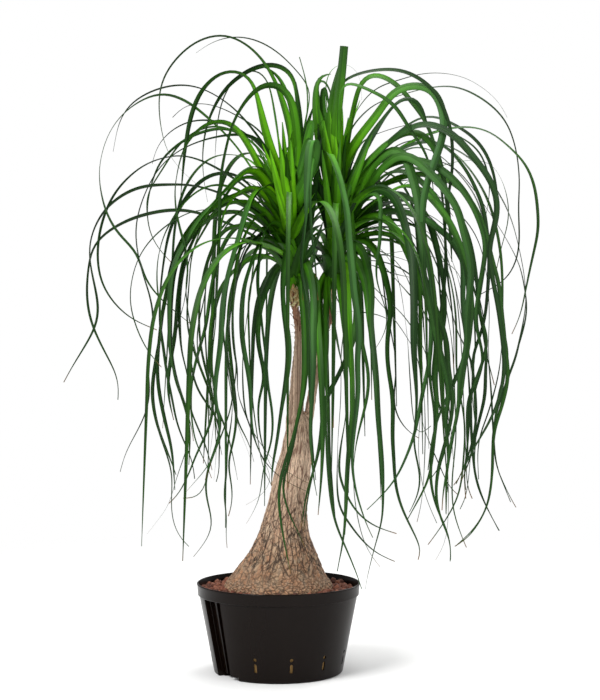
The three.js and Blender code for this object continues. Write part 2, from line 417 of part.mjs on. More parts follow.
// Rows of numbers read at a height, with smooth steps from row to row
function rowAt(rows, height) {
  const last = rows.length - 1;
  let low = 0;
  while (low < last - 1 && rows[low + 1][0] <= height) low += 1;
  const before = rows[Math.max(0, low - 1)];
  const from = rows[low];
  const to = rows[low + 1];
  const after = rows[Math.min(last, low + 2)];
  const part = THREE.MathUtils.clamp((height - from[0]) / (to[0] - from[0]), 0, 1);
  return from.map((value, i) => {
    const startSlope = ((to[i] - before[i]) / (to[0] - before[0])) * (to[0] - from[0]);
    const endSlope = ((after[i] - value) / (after[0] - from[0])) * (to[0] - from[0]);
    const square = part * part;
    const cube = square * part;
    return (2 * cube - 3 * square + 1) * value + (cube - 2 * square + part) * startSlope
      + (3 * square - 2 * cube) * to[i] + (cube - square) * endSlope;
  });
}

// A closed body from a three.js geometry, its shared corners merged and its faces out
function solidOf(geometry) {
  geometry.deleteAttribute('normal');
  geometry.deleteAttribute('uv');
  const merged = mergeVertices(geometry, 1e-4);
  const corners = [];
  for (let i = 0; i < merged.index.count; i += 3) {
    const [a, b, c] = [merged.index.getX(i), merged.index.getX(i + 1), merged.index.getX(i + 2)];
    if (a !== b && b !== c && c !== a) corners.push(a, b, c);
  }
  return new wasm.Manifold(new wasm.Mesh({
    numProp: 3,
    vertProperties: merged.attributes.position.array,
    triVerts: new Uint32Array(corners),
  }));
}

// Whether a twisted quad stands farther out from a middle along its diagonal a to d than along b to c
function bulges(middle, a, b, c, d) {
  const normal = d.clone().sub(a).cross(c.clone().sub(b));
  const gap = a.clone().add(d).sub(b).sub(c);
  const out = a.clone().add(b).add(c).add(d).multiplyScalar(0.25).sub(middle);
  return normal.dot(gap) * normal.dot(out) >= 0;
}

// A closed body through rings of points; each ring runs the same way round
function loftOf(rings, folded = false) {
  const points = rings.flat();
  const firsts = [];
  rings.reduce((sum, ring) => {
    firsts.push(sum);
    return sum + ring.length;
  }, 0);
  const faces = [];
  for (let r = 0; r < rings.length - 1; r += 1) {
    const count = rings[r].length;
    const ends = [...rings[r], ...rings[r + 1]];
    const middle = ends.reduce((sum, point) => sum.add(point), new THREE.Vector3()).divideScalar(ends.length);
    for (let k = 0; k < count; k += 1) {
      const next = (k + 1) % count;
      const [a, b] = [firsts[r] + k, firsts[r] + next];
      if (rings[r + 1].length === 1) {
        faces.push(a, b, firsts[r + 1]);
      } else {
        const [c, d] = [firsts[r + 1] + k, firsts[r + 1] + next];
        const outer = !folded || bulges(middle, points[a], points[b], points[c], points[d]);
        faces.push(...(outer ? [a, b, d, a, d, c] : [a, b, c, b, d, c]));
      }
    }
  }
  const cap = (first, count, turned) => {
    for (let k = 1; k < count - 1; k += 1) {
      const [b, c] = turned ? [k + 1, k] : [k, k + 1];
      faces.push(first, first + b, first + c);
    }
  };
  cap(firsts[0], rings[0].length, true);
  cap(firsts[rings.length - 1], rings[rings.length - 1].length, false);
  const geometry = new THREE.BufferGeometry().setFromPoints(points);
  geometry.setIndex(faces);
  const solid = solidOf(geometry);
  if (solid.volume() > 0) return solid;
  geometry.setIndex(faces.reverse());
  return solidOf(geometry);
}

// A block between two angles, two radii that follow height, and two heights
function sectorBlock(fromAngle, toAngle, innerAt, outerAt, low, high) {
  const steps = Math.max(1, Math.round((toAngle - fromAngle) / 7));
  const rings = [];
  for (let k = 0; k <= steps; k += 1) {
    const angle = THREE.MathUtils.lerp(fromAngle, toAngle, k / steps);
    rings.push([
      around(angle, innerAt(low), low),
      around(angle, outerAt(low), low),
      around(angle, outerAt(high), high),
      around(angle, innerAt(high), high),
    ]);
  }
  return loftOf(rings);
}

// A point at an angle in degrees from the front, a radius and a height
function around(angle, radius, height) {
  return new THREE.Vector3(
    radius * Math.sin(radians(angle)),
    -radius * Math.cos(radians(angle)),
    height,
  );
}

// The largest closed body, without scraps or sealed hollows
function mainBody(solid) {
  return solid.decompose().reduce((best, body) => (body.volume() > best.volume() ? body : best));
}

function meshOf(name, solid, color, roughness) {
  const { numProp, vertProperties, triVerts } = solid.getMesh();
  const geometry = new THREE.BufferGeometry();
  geometry.setAttribute('position', new THREE.BufferAttribute(new Float32Array(vertProperties), numProp));
  geometry.setIndex(new THREE.BufferAttribute(new Uint32Array(triVerts), 1));
  geometry.computeVertexNormals();
  const material = new THREE.MeshStandardMaterial({ color, roughness, metalness: 0 });
  const mesh = new THREE.Mesh(geometry, material);
  mesh.name = name;
  return mesh;
}

// Pot

const wallAt = (height) => pot.footRadius + pot.taper * height;

function revolved(profile) {
  const points = profile.map(([radius, height]) => new THREE.Vector2(radius, height));
  return solidOf(new THREE.LatheGeometry(points, pot.sides).rotateX(Math.PI / 2));
}

function potShell() {
  const band = pot.height - pot.bandHeight;
  const innerAt = (height) => wallAt(height) - pot.wall;
  return revolved([
    [0, 0],
    [pot.footRadius - pot.corner, 0],
    [pot.footRadius - pot.corner * 0.3, pot.corner * 0.35],
    [wallAt(pot.corner), pot.corner],
    [wallAt(band), band],
    [pot.bandRadius, band],
    [pot.rimRadius, pot.height - pot.lip],
    [pot.rimRadius - pot.lip, pot.height],
    [innerAt(pot.height), pot.height],
    [innerAt(pot.floor + pot.corner), pot.floor + pot.corner],
    [innerAt(pot.floor) - pot.corner, pot.floor],
    [0, pot.floor],
  ]);
}

// What the channel and the notch take from the inside of the pot. Without a margin the blocks end
// inside the pot's wall and join it; with a margin they run out through the wall.
function insideOfRecesses(margin) {
  const skin = pot.wall + margin;
  const turn = THREE.MathUtils.radToDeg(skin / pot.footRadius);
  const toWall = (height) => wallAt(height) + (margin > 0 ? margin : -pot.wall / 2);
  const channel = sectorBlock(
    gaugeChannel.from - turn,
    gaugeChannel.to + turn,
    (height) => wallAt(height) - gaugeChannel.depth - skin,
    toWall,
    0.5 - margin,
    gaugeChannel.top + skin,
  );
  const notch = sectorBlock(
    footNotch.from - turn,
    footNotch.to + turn,
    () => footNotch.inner - skin,
    toWall,
    0.5 - margin,
    footNotch.height + skin,
  );
  return channel.add(notch);
}

function recesses() {
  const past = 12;
  const channel = sectorBlock(
    gaugeChannel.from,
    gaugeChannel.to,
    (height) => wallAt(height) - gaugeChannel.depth,
    (height) => wallAt(height) + past,
    -1,
    gaugeChannel.top,
  );
  const notch = sectorBlock(
    footNotch.from,
    footNotch.to,
    () => footNotch.inner,
    () => pot.footRadius + past,
    -1,
    footNotch.height,
  );
  return channel.add(notch);
}

// A round hole over an upright slot, at one place round the lower wall
function drainCut(angle) {
  const through = 10;
  const hole = new THREE.CylinderGeometry(drain.holeRadius, drain.holeRadius, through, 8);
  hole.translate(0, -wallAt(drain.holeHeight), drain.holeHeight);
  const slotHeight = drain.slotHigh - drain.slotLow;
  const slotMiddle = (drain.slotHigh + drain.slotLow) / 2;
  const slot = new THREE.BoxGeometry(drain.slotWidth, through, slotHeight);
  slot.translate(0, -wallAt(slotMiddle), slotMiddle);
  const turn = radians(angle);
  return solidOf(hole.rotateZ(turn)).add(solidOf(slot.rotateZ(turn)));
}

function makePot() {
  let body = potShell().add(insideOfRecesses(0)).subtract(recesses());
  const spacing = 360 / (drain.count + 1);
  for (let k = 1; k <= drain.count; k += 1) {
    body = body.subtract(drainCut(drain.gapAt + k * spacing));
  }
  return meshOf('pot', mainBody(body), 0x17130f, 0.38);
}

// Trunk

function ringAt(row, sides, growth) {
  const [height, x, y, radius] = row;
  const ring = [];
  for (let k = 0; k < sides; k += 1) {
    const angle = (k / sides) * 2 * Math.PI;
    const reach = radius + growth(k, height);
    ring.push(new THREE.Vector3(x + reach * Math.cos(angle), y + reach * Math.sin(angle), height));
  }
  return ring;
}

function loftRows(rows, sides, step, growth) {
  const low = rows[0][0];
  const high = rows[rows.length - 1][0];
  const count = Math.round((high - low) / step);
  const rings = [];
  for (let k = 0; k <= count; k += 1) {
    rings.push(ringAt(rowAt(rows, low + ((high - low) * k) / count), sides, growth));
  }
  return loftOf(rings);
}

function makeTrunk() {
  const random = seededRandom(311);
  // Upright fissures every few sides, with uneven plates between them
  const plates = (k, height) => {
    const shift = Math.floor(height / bark.plateHeight);
    const level = (k + shift) % bark.plateSides === 0 ? bark.fissure : bark.plate;
    return bark.relief * (level + bark.uneven * (random() - 0.5));
  };
  const finer = (k, height) => bark.stemShare * plates(k, height);
  const foot = loftRows(footRows, bark.sides, bark.footStep, plates);
  const left = loftRows(leftStemRows, bark.stemSides, bark.stemStep, finer);
  const right = loftRows(rightStemRows, bark.stemSides, bark.stemStep, finer);
  return meshOf('trunk', mainBody(foot.add(left).add(right)), 0xa9866b, 0.9);
}

// Granules

function makeGranules() {
  const random = seededRandom(97);
  const edge = (height) => wallAt(height) - pot.wall - clearance;
  const low = pot.floor + clearance;
  const corner = low + pot.corner;
  const ring = (radius, heightAt) => {
    const points = [];
    for (let k = 0; k < pot.sides; k += 1) {
      points.push(around((k / pot.sides) * 360, radius, heightAt(k)));
    }
    return points;
  };
  const rings = [ring(edge(low) - pot.corner, () => low), ring(edge(corner), () => corner)];
  const rim = granules.level - granules.bump;
  rings.push(ring(edge(rim), () => rim));
  granules.rings.forEach((radius, row) => {
    const heightAt = (k) => {
      const side = (k + row) % 2 === 0 ? 1 : granules.dip;
      return granules.level + granules.bump * (side + granules.uneven * (random() - 0.5));
    };
    const underTrunk = radius < rowAt(footRows, granules.level)[3];
    rings.push(ring(radius, underTrunk ? () => granules.level : heightAt));
  });
  const room = clearance + bark.relief;
  const sunk = footRows.filter(([height]) => height < granules.level + 90);
  const hole = loftRows(sunk, bark.sides, bark.footStep, () => room);
  const under = hole.translate([0, 0, -room]);
  const recessed = insideOfRecesses(clearance);
  const filling = loftOf(rings).subtract(hole).subtract(under).subtract(recessed);
  return meshOf('clay_granules', mainBody(filling), 0x8a4630, 0.95);
}

// Leaves

// A place seen at x and z on the front plane, at a depth behind that plane
function placed(x, z, depth) {
  const spread = 1 + depth / eye.distance;
  return new THREE.Vector3(eye.x + (x - eye.x) * spread, depth, eye.z + (z - eye.z) * spread);
}

// Keeps a path away from the trunk and its stems
function besideTrunk(point) {
  [footRows, leftStemRows, rightStemRows].forEach((rows) => {
    if (point.z < rows[0][0] || point.z > rows[rows.length - 1][0]) return;
    const [, x, y, radius] = rowAt(rows, point.z);
    const away = new THREE.Vector2(point.x - x, point.y - y);
    const least = radius + trunkRoom;
    if (away.length() < least) {
      away.setLength(least);
      point.set(x + away.x, y + away.y, point.z);
    }
  });
  return point;
}

// A leaf that follows a path seen from the front
function drawnLeaf(crown, row, depthStep) {
  const [rootHeight, tipDepth, width, rootTurn, tipTurn, ...seen] = row;
  const [, rootX, rootY] = rowAt(crown, rootHeight);
  const along = [0];
  let [x, z] = [rootX, rootHeight];
  for (let i = 0; i < seen.length; i += 2) {
    along.push(along[along.length - 1] + Math.hypot(seen[i] - x, seen[i + 1] - z));
    [x, z] = [seen[i], seen[i + 1]];
  }
  const length = along[along.length - 1];
  const depth = tipDepth + depthStep;
  const points = [new THREE.Vector3(rootX, rootY, rootHeight)];
  for (let i = 0; i < seen.length; i += 2) {
    const part = Math.min(1, along[i / 2 + 1] / length / blade.swing);
    const eased = Math.sin((part * Math.PI) / 2);
    points.push(besideTrunk(placed(seen[i], seen[i + 1], rootY + (depth - rootY) * eased)));
  }
  return leafAlong(points, width, new THREE.Vector3(0, 1, 0), rootTurn, tipTurn);
}

// A leaf that springs from the crown, arches and hangs
function ruledLeaf(crown, index, random) {
  const { lerp, smoothstep } = THREE.MathUtils;
  const count = fullness.behind + fullness.before;
  const share = index < fullness.behind ? 1 : fullness.beforeRise;
  const rise = (share * ((index * fullness.skip) % count)) / (count - 1);
  const rootHeight = lerp(crown[1][0], crown[4][0], lerp(...fullness.rootShare, rise));
  const [, rootX, rootY] = rowAt(crown, rootHeight);
  const facing = index < fullness.behind ? 90 : -90;
  const golden = (index * fullness.golden) % 1;
  let heading = radians(facing + fullness.spread * (2 * golden - 1));
  const across = new THREE.Vector3(-Math.sin(heading), Math.cos(heading), 0);
  const sway = radians(fullness.sway * (random() - 0.5));
  const launch = radians(lerp(...fullness.launch, rise));
  const hang = radians(lerp(...fullness.hang, random()));
  const length = lerp(...fullness.length, random());
  const bendBy = lerp(...fullness.bendShare, random());
  const point = new THREE.Vector3(rootX, rootY, rootHeight);
  const points = [point.clone()];
  const step = length / fullness.steps;
  for (let k = 0; k < fullness.steps && point.z > fullness.tipHeight; k += 1) {
    const pitch = lerp(launch, hang, smoothstep(k / fullness.steps, 0, bendBy));
    heading += sway / fullness.steps;
    point.x += step * Math.cos(pitch) * Math.cos(heading);
    point.y += step * Math.cos(pitch) * Math.sin(heading);
    point.z += step * Math.sin(pitch);
    if (k % 4 === 3) points.push(besideTrunk(point.clone()));
  }
  const width = fullness.width * lerp(...fullness.widthShare, random());
  const tipTurn = lerp(-fullness.tipTurn, fullness.tipTurn, random());
  return leafAlong(points, width, across, 0, tipTurn);
}

// Turns are measured from the direction that the blade is wide in
function leafAlong(points, width, across, rootTurn, tipTurn) {
  const curve = new THREE.CatmullRomCurve3(points, false, 'centripetal');
  return { curve, width, across, rootTurn, tipTurn, samples: curve.getSpacedPoints(apart.samples) };
}

function isClear(leaf, others) {
  return others.every((other) => other.samples.every((there) => (
    leaf.samples.every((here) => here.distanceTo(there) > apart.distance)
  )));
}

// A thin closed blade, wide at the root and fine at the tip, with a keel on its outer side
function bladeOf(leaf, cut) {
  const wanted = Math.round(leaf.curve.getLength() / blade.segmentLength);
  const count = THREE.MathUtils.clamp(wanted, blade.fewest, blade.most);
  const points = leaf.curve.getSpacedPoints(count);
  const across = leaf.across.clone();
  const up = new THREE.Vector3(0, 0, 1);
  const outward = points[Math.ceil(count / 2)].clone().sub(points[0]).setZ(0);
  const rootSide = across.clone().applyAxisAngle(up, radians(leaf.rootTurn));
  if (up.clone().cross(rootSide).dot(outward) > 0) across.negate();
  const rings = [];
  points.forEach((point, i) => {
    const part = i / count;
    const tangent = points[Math.min(count, i + 1)].clone().sub(points[Math.max(0, i - 1)]).normalize();
    across.addScaledVector(tangent, -across.dot(tangent)).normalize();
    const turn = radians(THREE.MathUtils.lerp(leaf.tipTurn, leaf.rootTurn, (1 - part) ** blade.untwist));
    const side = across.clone().applyAxisAngle(tangent, turn);
    const under = side.clone().cross(tangent).normalize();
    if (i === count && !cut) {
      rings.push([point]);
      return;
    }
    const half = (leaf.width / 2) * (cut ? 1 - blade.cutTaper * part : (1 - part) ** blade.taper);
    rings.push([
      point.clone().addScaledVector(side, half),
      point.clone().addScaledVector(under, blade.keel * (cut ? 1 : 1 - 0.4 * part)),
      point.clone().addScaledVector(side, -half),
    ]);
  });
  return loftOf(rings, true);
}

// The leafy top of a stem as one body: a core that the leaves grow from, and the leaves
function makeHead(name, crown, leaves, cutLeaves, color) {
  let body = loftRows(crown, crownCore.sides, crownCore.step, () => 0);
  leaves.forEach((leaf) => {
    body = body.add(bladeOf(leaf, false));
  });
  cutLeaves.forEach((leaf) => {
    body = body.add(bladeOf(leaf, true));
  });
  return meshOf(name, mainBody(body), color, 0.45);
}

// The drawn leaves of a head, each bent nearer or farther until it is clear of the others
function drawnLeaves(crown, rows, others) {
  return rows.map((row) => {
    const choices = apart.steps.map((step) => drawnLeaf(crown, row, step));
    return choices.find((leaf) => isClear(leaf, others));
  }).filter(Boolean);
}

function ruledLeaves(crown, seed, others) {
  const random = seededRandom(seed);
  const leaves = [];
  for (let k = 0; k < fullness.behind + fullness.before; k += 1) {
    const leaf = ruledLeaf(crown, k, random);
    if (isClear(leaf, others)) leaves.push(leaf);
  }
  return leaves;
}

function crownAsLeaf(crown) {
  const points = crown.map(([height, x, y]) => new THREE.Vector3(x, y, height));
  return leafAlong(points, 0, new THREE.Vector3(0, 1, 0), 0, 0);
}

const leftHead = drawnLeaves(leftCrownRows, leftLeaves, [crownAsLeaf(rightCrownRows)]);
const rightHead = drawnLeaves(rightCrownRows, rightLeaves, [crownAsLeaf(leftCrownRows), ...leftHead]);
const squareLeaf = drawnLeaf(rightCrownRows, cutLeaf, 0);
rightHead.push(...ruledLeaves(rightCrownRows, 8, [crownAsLeaf(leftCrownRows), ...leftHead]));
leftHead.push(...ruledLeaves(leftCrownRows, 5, [crownAsLeaf(rightCrownRows), squareLeaf, ...rightHead]));

const plant = new THREE.Group();
plant.add(
  makePot(),
  makeGranules(),
  makeTrunk(),
  makeHead('left_head', leftCrownRows, leftHead, [], 0x2f5a24),
  makeHead('right_head', rightCrownRows, rightHead, [squareLeaf], 0x3a6a28),
);

export default plant;
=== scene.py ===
import math

import bmesh
import bpy
import numpy as np
from mathutils import Matrix, Vector, noise


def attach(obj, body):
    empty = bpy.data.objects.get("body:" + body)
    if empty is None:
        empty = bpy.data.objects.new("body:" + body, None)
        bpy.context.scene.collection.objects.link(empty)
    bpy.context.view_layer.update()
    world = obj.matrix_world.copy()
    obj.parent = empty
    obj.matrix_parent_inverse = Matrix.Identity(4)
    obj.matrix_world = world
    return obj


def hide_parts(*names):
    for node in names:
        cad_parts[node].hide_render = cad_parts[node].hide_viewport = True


# Potted ponytail palm: nursery pot, clay granules, corky trunk with two stems, two heads of leaves.
# Shapes are worked out in millimetres and turned into metres as each mesh is made.

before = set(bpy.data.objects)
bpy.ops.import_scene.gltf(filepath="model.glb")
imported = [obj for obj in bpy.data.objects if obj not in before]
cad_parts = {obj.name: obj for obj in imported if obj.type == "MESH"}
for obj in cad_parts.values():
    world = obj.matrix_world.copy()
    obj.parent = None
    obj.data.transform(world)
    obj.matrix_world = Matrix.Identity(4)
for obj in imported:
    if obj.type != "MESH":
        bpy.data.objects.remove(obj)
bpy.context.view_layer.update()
print("frame loaded:", ", ".join(sorted(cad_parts)))

mm = 0.001
fullTurn = 6.28  # about one turn in radians; random turns lie between 0 and this


# Small helpers

def seededRandom(seed):
    multiplier, modulus = 16807, 2147483647
    state = seed

    def draw():
        nonlocal state
        state = (state * multiplier) % modulus
        return state / modulus

    return draw


def lerp(low, high, part):
    return low + (high - low) * part


def smoothstep(value, low, high):
    part = min(1.0, max(0.0, (value - low) / (high - low)))
    return part * part * (3 - 2 * part)


def rowAt(rows, height):
    # rows of numbers read at a height, with smooth steps from row to row
    last = len(rows) - 1
    low = 0
    while low < last - 1 and rows[low + 1][0] <= height:
        low += 1
    before, start, end, after = rows[max(0, low - 1)], rows[low], rows[low + 1], rows[min(last, low + 2)]
    span = end[0] - start[0]
    part = min(1.0, max(0.0, (height - start[0]) / span))
    square, cube = part ** 2, part ** 3
    values = []
    for first, value, following, farther in zip(before, start, end, after):
        startSlope = (following - first) / (end[0] - before[0]) * span
        endSlope = (farther - value) / (after[0] - start[0]) * span
        values.append(
            (2 * cube - 3 * square + 1) * value + (cube - 2 * square + part) * startSlope
            + (3 * square - 2 * cube) * following + (cube - square) * endSlope
        )
    return values


def around(angle, radius, height):
    # a point at an angle in degrees from the front, a radius and a height
    turn = math.radians(angle)
    return Vector((radius * math.sin(turn), -radius * math.cos(turn), height))


def direction(pitch, heading):
    return Vector((math.cos(pitch) * math.cos(heading), math.cos(pitch) * math.sin(heading), math.sin(pitch)))


def sideways(heading):
    return Vector((-math.sin(heading), math.cos(heading), 0))


def addedToScene(name, mesh):
    made = bpy.data.objects.new(name, mesh)
    bpy.context.scene.collection.objects.link(made)
    return made


def meshObject(name, points, faces):
    mesh = bpy.data.meshes.new(name)
    mesh.from_pydata([tuple(Vector(point) * mm) for point in points], [], faces)
    mesh.validate()
    return addedToScene(name, mesh)


def meshFrom(bm, name):
    mesh = bpy.data.meshes.new(name)
    bm.to_mesh(mesh)
    bm.free()
    return mesh


def cleaned(made):
    # doubles merged and faces turned outwards
    mergeWithin = 1e-6
    bm = bmesh.new()
    bm.from_mesh(made.data)
    bmesh.ops.remove_doubles(bm, verts=bm.verts, dist=mergeWithin)
    bmesh.ops.dissolve_degenerate(bm, edges=bm.edges, dist=mergeWithin)
    bmesh.ops.recalc_face_normals(bm, faces=bm.faces)
    bm.to_mesh(made.data)
    bm.free()
    return made


def baked(made):
    # the object with its modifiers turned into a plain mesh
    bpy.context.view_layer.update()
    evaluated = made.evaluated_get(bpy.context.evaluated_depsgraph_get())
    mesh = bpy.data.meshes.new_from_object(evaluated, preserve_all_data_layers=True,
                                           depsgraph=bpy.context.evaluated_depsgraph_get())
    old = made.data
    made.modifiers.clear()
    made.data = mesh
    bpy.data.meshes.remove(old)
    mesh.name = made.name
    return made


def smoothed(made, angle=30):
    made.data.shade_smooth()
    made.data.set_sharp_from_angle(angle=math.radians(angle))
    return made


def painted(made, material):
    made.data.materials.clear()
    made.data.materials.append(material)
    return made


def storeValues(mesh, columns):
    for name, values in columns.items():
        mesh.attributes.new(name, "FLOAT", "POINT").data.foreach_set("value", values)


def storeVectors(mesh, name, values):
    mesh.attributes.new(name, "FLOAT_VECTOR", "POINT").data.foreach_set("vector", values)


def finished(made, slot, *nodes):
    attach(made, "root")
    if nodes:
        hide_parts(*nodes)
    triangles = sum(len(face.vertices) - 2 for face in made.data.polygons)
    print(made.name, "made,", triangles, "triangles")
    return made


def loftFaces(ringCount, sides):
    faces = []
    for ring in range(ringCount - 1):
        for side in range(sides):
            following = (side + 1) % sides
            faces.append((ring * sides + side, ring * sides + following,
                          (ring + 1) * sides + following, (ring + 1) * sides + side))
    faces.append(tuple(reversed(range(sides))))
    faces.append(tuple(range((ringCount - 1) * sides, ringCount * sides)))
    return faces


def ringFaces(first, sides):
    # faces between a ring of points and the wider one that follows it
    wider = first + sides
    return [(first + k, wider + k, wider + (k + 1) % sides, first + (k + 1) % sides) for k in range(sides)]


# Helpers for node trees

def put(tree, kind, inputs=None, **settings):
    # adds a node; an input gets a value, or a link where it is given another node's output
    made = tree.nodes.new(kind)
    for key, value in settings.items():
        setattr(made, key, value)
    for key, value in (inputs or {}).items():
        if isinstance(value, bpy.types.NodeSocket):
            tree.links.new(value, made.inputs[key])
        else:
            made.inputs[key].default_value = value
    return made


def maths(tree, operation, first, second=0.0):
    return put(tree, "ShaderNodeMath", {0: first, 1: second}, operation=operation).outputs[0]


def mixed(tree, factor, first, second, blend="MIX"):
    # each colour is red, green and blue, or another node's output
    colors = [color if isinstance(color, bpy.types.NodeSocket) else (*color, 1) for color in (first, second)]
    made = put(tree, "ShaderNodeMix", {0: factor, 6: colors[0], 7: colors[1]},
               data_type="RGBA", blend_type=blend)
    return made.outputs[2]


def blended(tree, factor, first, second):
    return put(tree, "ShaderNodeMix", {0: factor, 2: first, 3: second}).outputs[0]


def between(tree, value, low, high, start=0.0, end=1.0):
    # a value stretched from low..high to start..end
    made = put(tree, "ShaderNodeMapRange", {0: value, 1: low, 2: high, 3: start, 4: end})
    return made.outputs[0]


def ramp(tree, value, stops):
    made = put(tree, "ShaderNodeValToRGB", {0: value})
    elements = made.color_ramp.elements
    while len(elements) < len(stops):
        elements.new(1.0)
    for element, (place, color) in zip(elements, stops):
        element.position = place
        element.color = (*color, 1.0)
    return made.outputs[0]


def noisy(tree, scale, stretch=(1, 1, 1), detail=3.0, roughness=0.55):
    coords = put(tree, "ShaderNodeTexCoord").outputs["Object"]
    stretched = put(tree, "ShaderNodeMapping", {0: coords, 3: stretch}).outputs[0]
    made = put(tree, "ShaderNodeTexNoise",
               {"Vector": stretched, "Scale": scale, "Detail": detail, "Roughness": roughness})
    return made.outputs[0]


def attribute(tree, name):
    return put(tree, "ShaderNodeAttribute", attribute_name=name).outputs["Fac"]


def heightIn(tree):
    coords = put(tree, "ShaderNodeTexCoord").outputs["Object"]
    return put(tree, "ShaderNodeSeparateXYZ", {0: coords}).outputs[2]


def newMaterial(name, values):
    material = bpy.data.materials.new(name)
    material.use_nodes = True
    shader = material.node_tree.nodes["Principled BSDF"]
    for key, value in values.items():
        shader.inputs[key].default_value = value
    return material, material.node_tree, shader


def bumped(tree, shader, height, strength, distance):
    made = put(tree, "ShaderNodeBump", {"Height": height, "Strength": strength, "Distance": distance})
    tree.links.new(made.outputs[0], shader.inputs["Normal"])


def newTree(name, kinds):
    # a Geometry Nodes tree with named inputs, and the outputs of its input node
    tree = bpy.data.node_groups.new(name, "GeometryNodeTree")
    tree.is_modifier = True
    tree.interface.new_socket("Geometry", in_out="INPUT", socket_type="NodeSocketGeometry")
    for label, kind in kinds.items():
        tree.interface.new_socket(label, in_out="INPUT", socket_type=f"NodeSocket{kind}")
    tree.interface.new_socket("Geometry", in_out="OUTPUT", socket_type="NodeSocketGeometry")
    return tree, tree.nodes.new("NodeGroupInput").outputs


def endTree(tree, geometry, material):
    real = put(tree, "GeometryNodeRealizeInstances", {"Geometry": geometry})
    coated = put(tree, "GeometryNodeSetMaterial", {"Geometry": real.outputs[0], "Material": material})
    tree.links.new(coated.outputs[0], tree.nodes.new("NodeGroupOutput").inputs[0])
    return tree


def grown(made, tree, values):
    # the object with a tree run on it, its inputs set, as a plain mesh
    modifier = made.modifiers.new(tree.name, "NODES")
    modifier.node_group = tree
    sockets = {item.name: item.identifier for item in tree.interface.items_tree
               if item.item_type == "SOCKET" and item.in_out == "INPUT"}
    for name, value in values.items():
        modifier[sockets[name]] = value
    return baked(made)


# Pot: dark moulded plastic with a rim band, a gauge channel, a foot notch and drain holes

potShape = {
    "height": 152,
    "footRadius": 110,
    "taper": 0.195,  # growth of the radius for each millimetre of height
    "wall": 2.5,
    "floor": 3,
    "flat": 6,  # from the end of the flat underside to its rounded corner
    "corner": 4,
    "wallRings": (45, 90, 131),  # heights that the outline has points at, outside and then inside
    "innerRings": (144, 60),
    "bandHeight": 20,
    "bandRadius": 138.2,
    "bandStep": (0.5, 0.4),  # how far out and down the wall bends under the band
    "rimRadius": 140,
    "rimStep": (0.9, 3.4),  # how far in and down the band starts to widen to the rim
    "lip": 1.5,
    "edge": 0.6,
    "sides": 192,
    "cutReach": 12,  # how far the cutting blocks stick out of the wall
    "skinLow": 0.5,  # height where the skin round the recesses begins
    "sharpFrom": 28,  # degrees between faces that meet in a sharp edge
}
gaugeChannel = {"start": -66, "end": -45, "depth": 10, "top": 131.5}  # degrees from the front
footNotch = {"start": -64, "end": -36, "inner": 80, "height": 7}
channelRibs = {"turns": (-61.5, -52.5), "width": 1.6, "depth": 4.5, "low": 8, "high": 131, "sunk": 1}
drain = {"count": 11, "gapAt": -48.5, "holeRadius": 3, "holeHeight": 40, "holeSides": 18,
         "slotWidth": 5, "slotLow": 18, "slotHigh": 33, "slotTop": 0.5, "through": 8}
mouldedPlastic = {
    "gloss": {"Specular IOR Level": 0.05, "Coat Weight": 0.14, "Coat Roughness": 0.1},
    "color": (0.0044, 0.0020, 0.0011),
    "worn": (0.0080, 0.0045, 0.0030),
    "scuffs": {"scale": 9, "stretch": (1, 1, 0.25), "detail": 5},
    "pits": {"scale": 320, "detail": 2},
    "pitShare": 0.4,
    "wear": (0.52, 0.78),
    "roughness": (0.3, 0.75, 0.24, 0.40),  # scuffs from and to, roughness at each
    "bump": (0.12, 0.0006),  # strength, and height in metres
}


def wallAt(height):
    return potShape["footRadius"] + potShape["taper"] * height


def innerWallAt(height):
    return wallAt(height) - potShape["wall"]


def revolved(name, profile, sides):
    # a closed body turned from radius and height pairs; the first and last lie on the axis
    points, faces = [Vector((0, 0, profile[0][1]))], []
    for radius, height in profile[1:-1]:
        points.extend(around(360 * side / sides, radius, height) for side in range(sides))
    points.append(Vector((0, 0, profile[-1][1])))
    rings = len(profile) - 2
    for side in range(sides):
        following = (side + 1) % sides
        faces.append((0, 1 + following, 1 + side))
        for ring in range(rings - 1):
            low, high = 1 + ring * sides, 1 + (ring + 1) * sides
            faces.append((low + side, low + following, high + following, high + side))
        last = 1 + (rings - 1) * sides
        faces.append((last + side, last + following, len(points) - 1))
    return cleaned(meshObject(name, points, faces))


def sectorBlock(name, start, end, innerAt, outerAt, low, high, steps=8):
    # a block between two angles, two radii that follow height, and two heights
    corners = ((innerAt, low), (innerAt, high), (outerAt, high), (outerAt, low))
    points = [around(lerp(start, end, step / steps), radiusAt(height), height)
              for step in range(steps + 1) for radiusAt, height in corners]
    return cleaned(meshObject(name, points, loftFaces(steps + 1, len(corners))))


def recesses(label, skin, outerAt, low):
    # blocks for the gauge channel and the foot notch, larger by a skin
    turn = math.degrees(skin / potShape["footRadius"])
    return [
        sectorBlock(f"channel {label}", gaugeChannel["start"] - turn, gaugeChannel["end"] + turn,
                    lambda height: wallAt(height) - gaugeChannel["depth"] - skin, outerAt,
                    low, gaugeChannel["top"] + skin),
        sectorBlock(f"notch {label}", footNotch["start"] - turn, footNotch["end"] + turn,
                    lambda height: footNotch["inner"] - skin, outerAt,
                    low, footNotch["height"] + skin),
    ]


def rounded(centre, radius, start, end, steps=4):
    # radius and height pairs along an arc, from one angle to another in degrees
    angles = [math.radians(lerp(start, end, k / steps)) for k in range(steps + 1)]
    return [(centre[0] + radius * math.cos(a), centre[1] + radius * math.sin(a)) for a in angles]


def cutWith(body, tools, operation="DIFFERENCE"):
    for tool in tools:
        cut = body.modifiers.new(tool.name, "BOOLEAN")
        cut.operation = operation
        cut.solver = "EXACT"
        cut.object = tool
    baked(body)
    for tool in tools:
        bpy.data.objects.remove(tool)
    return body


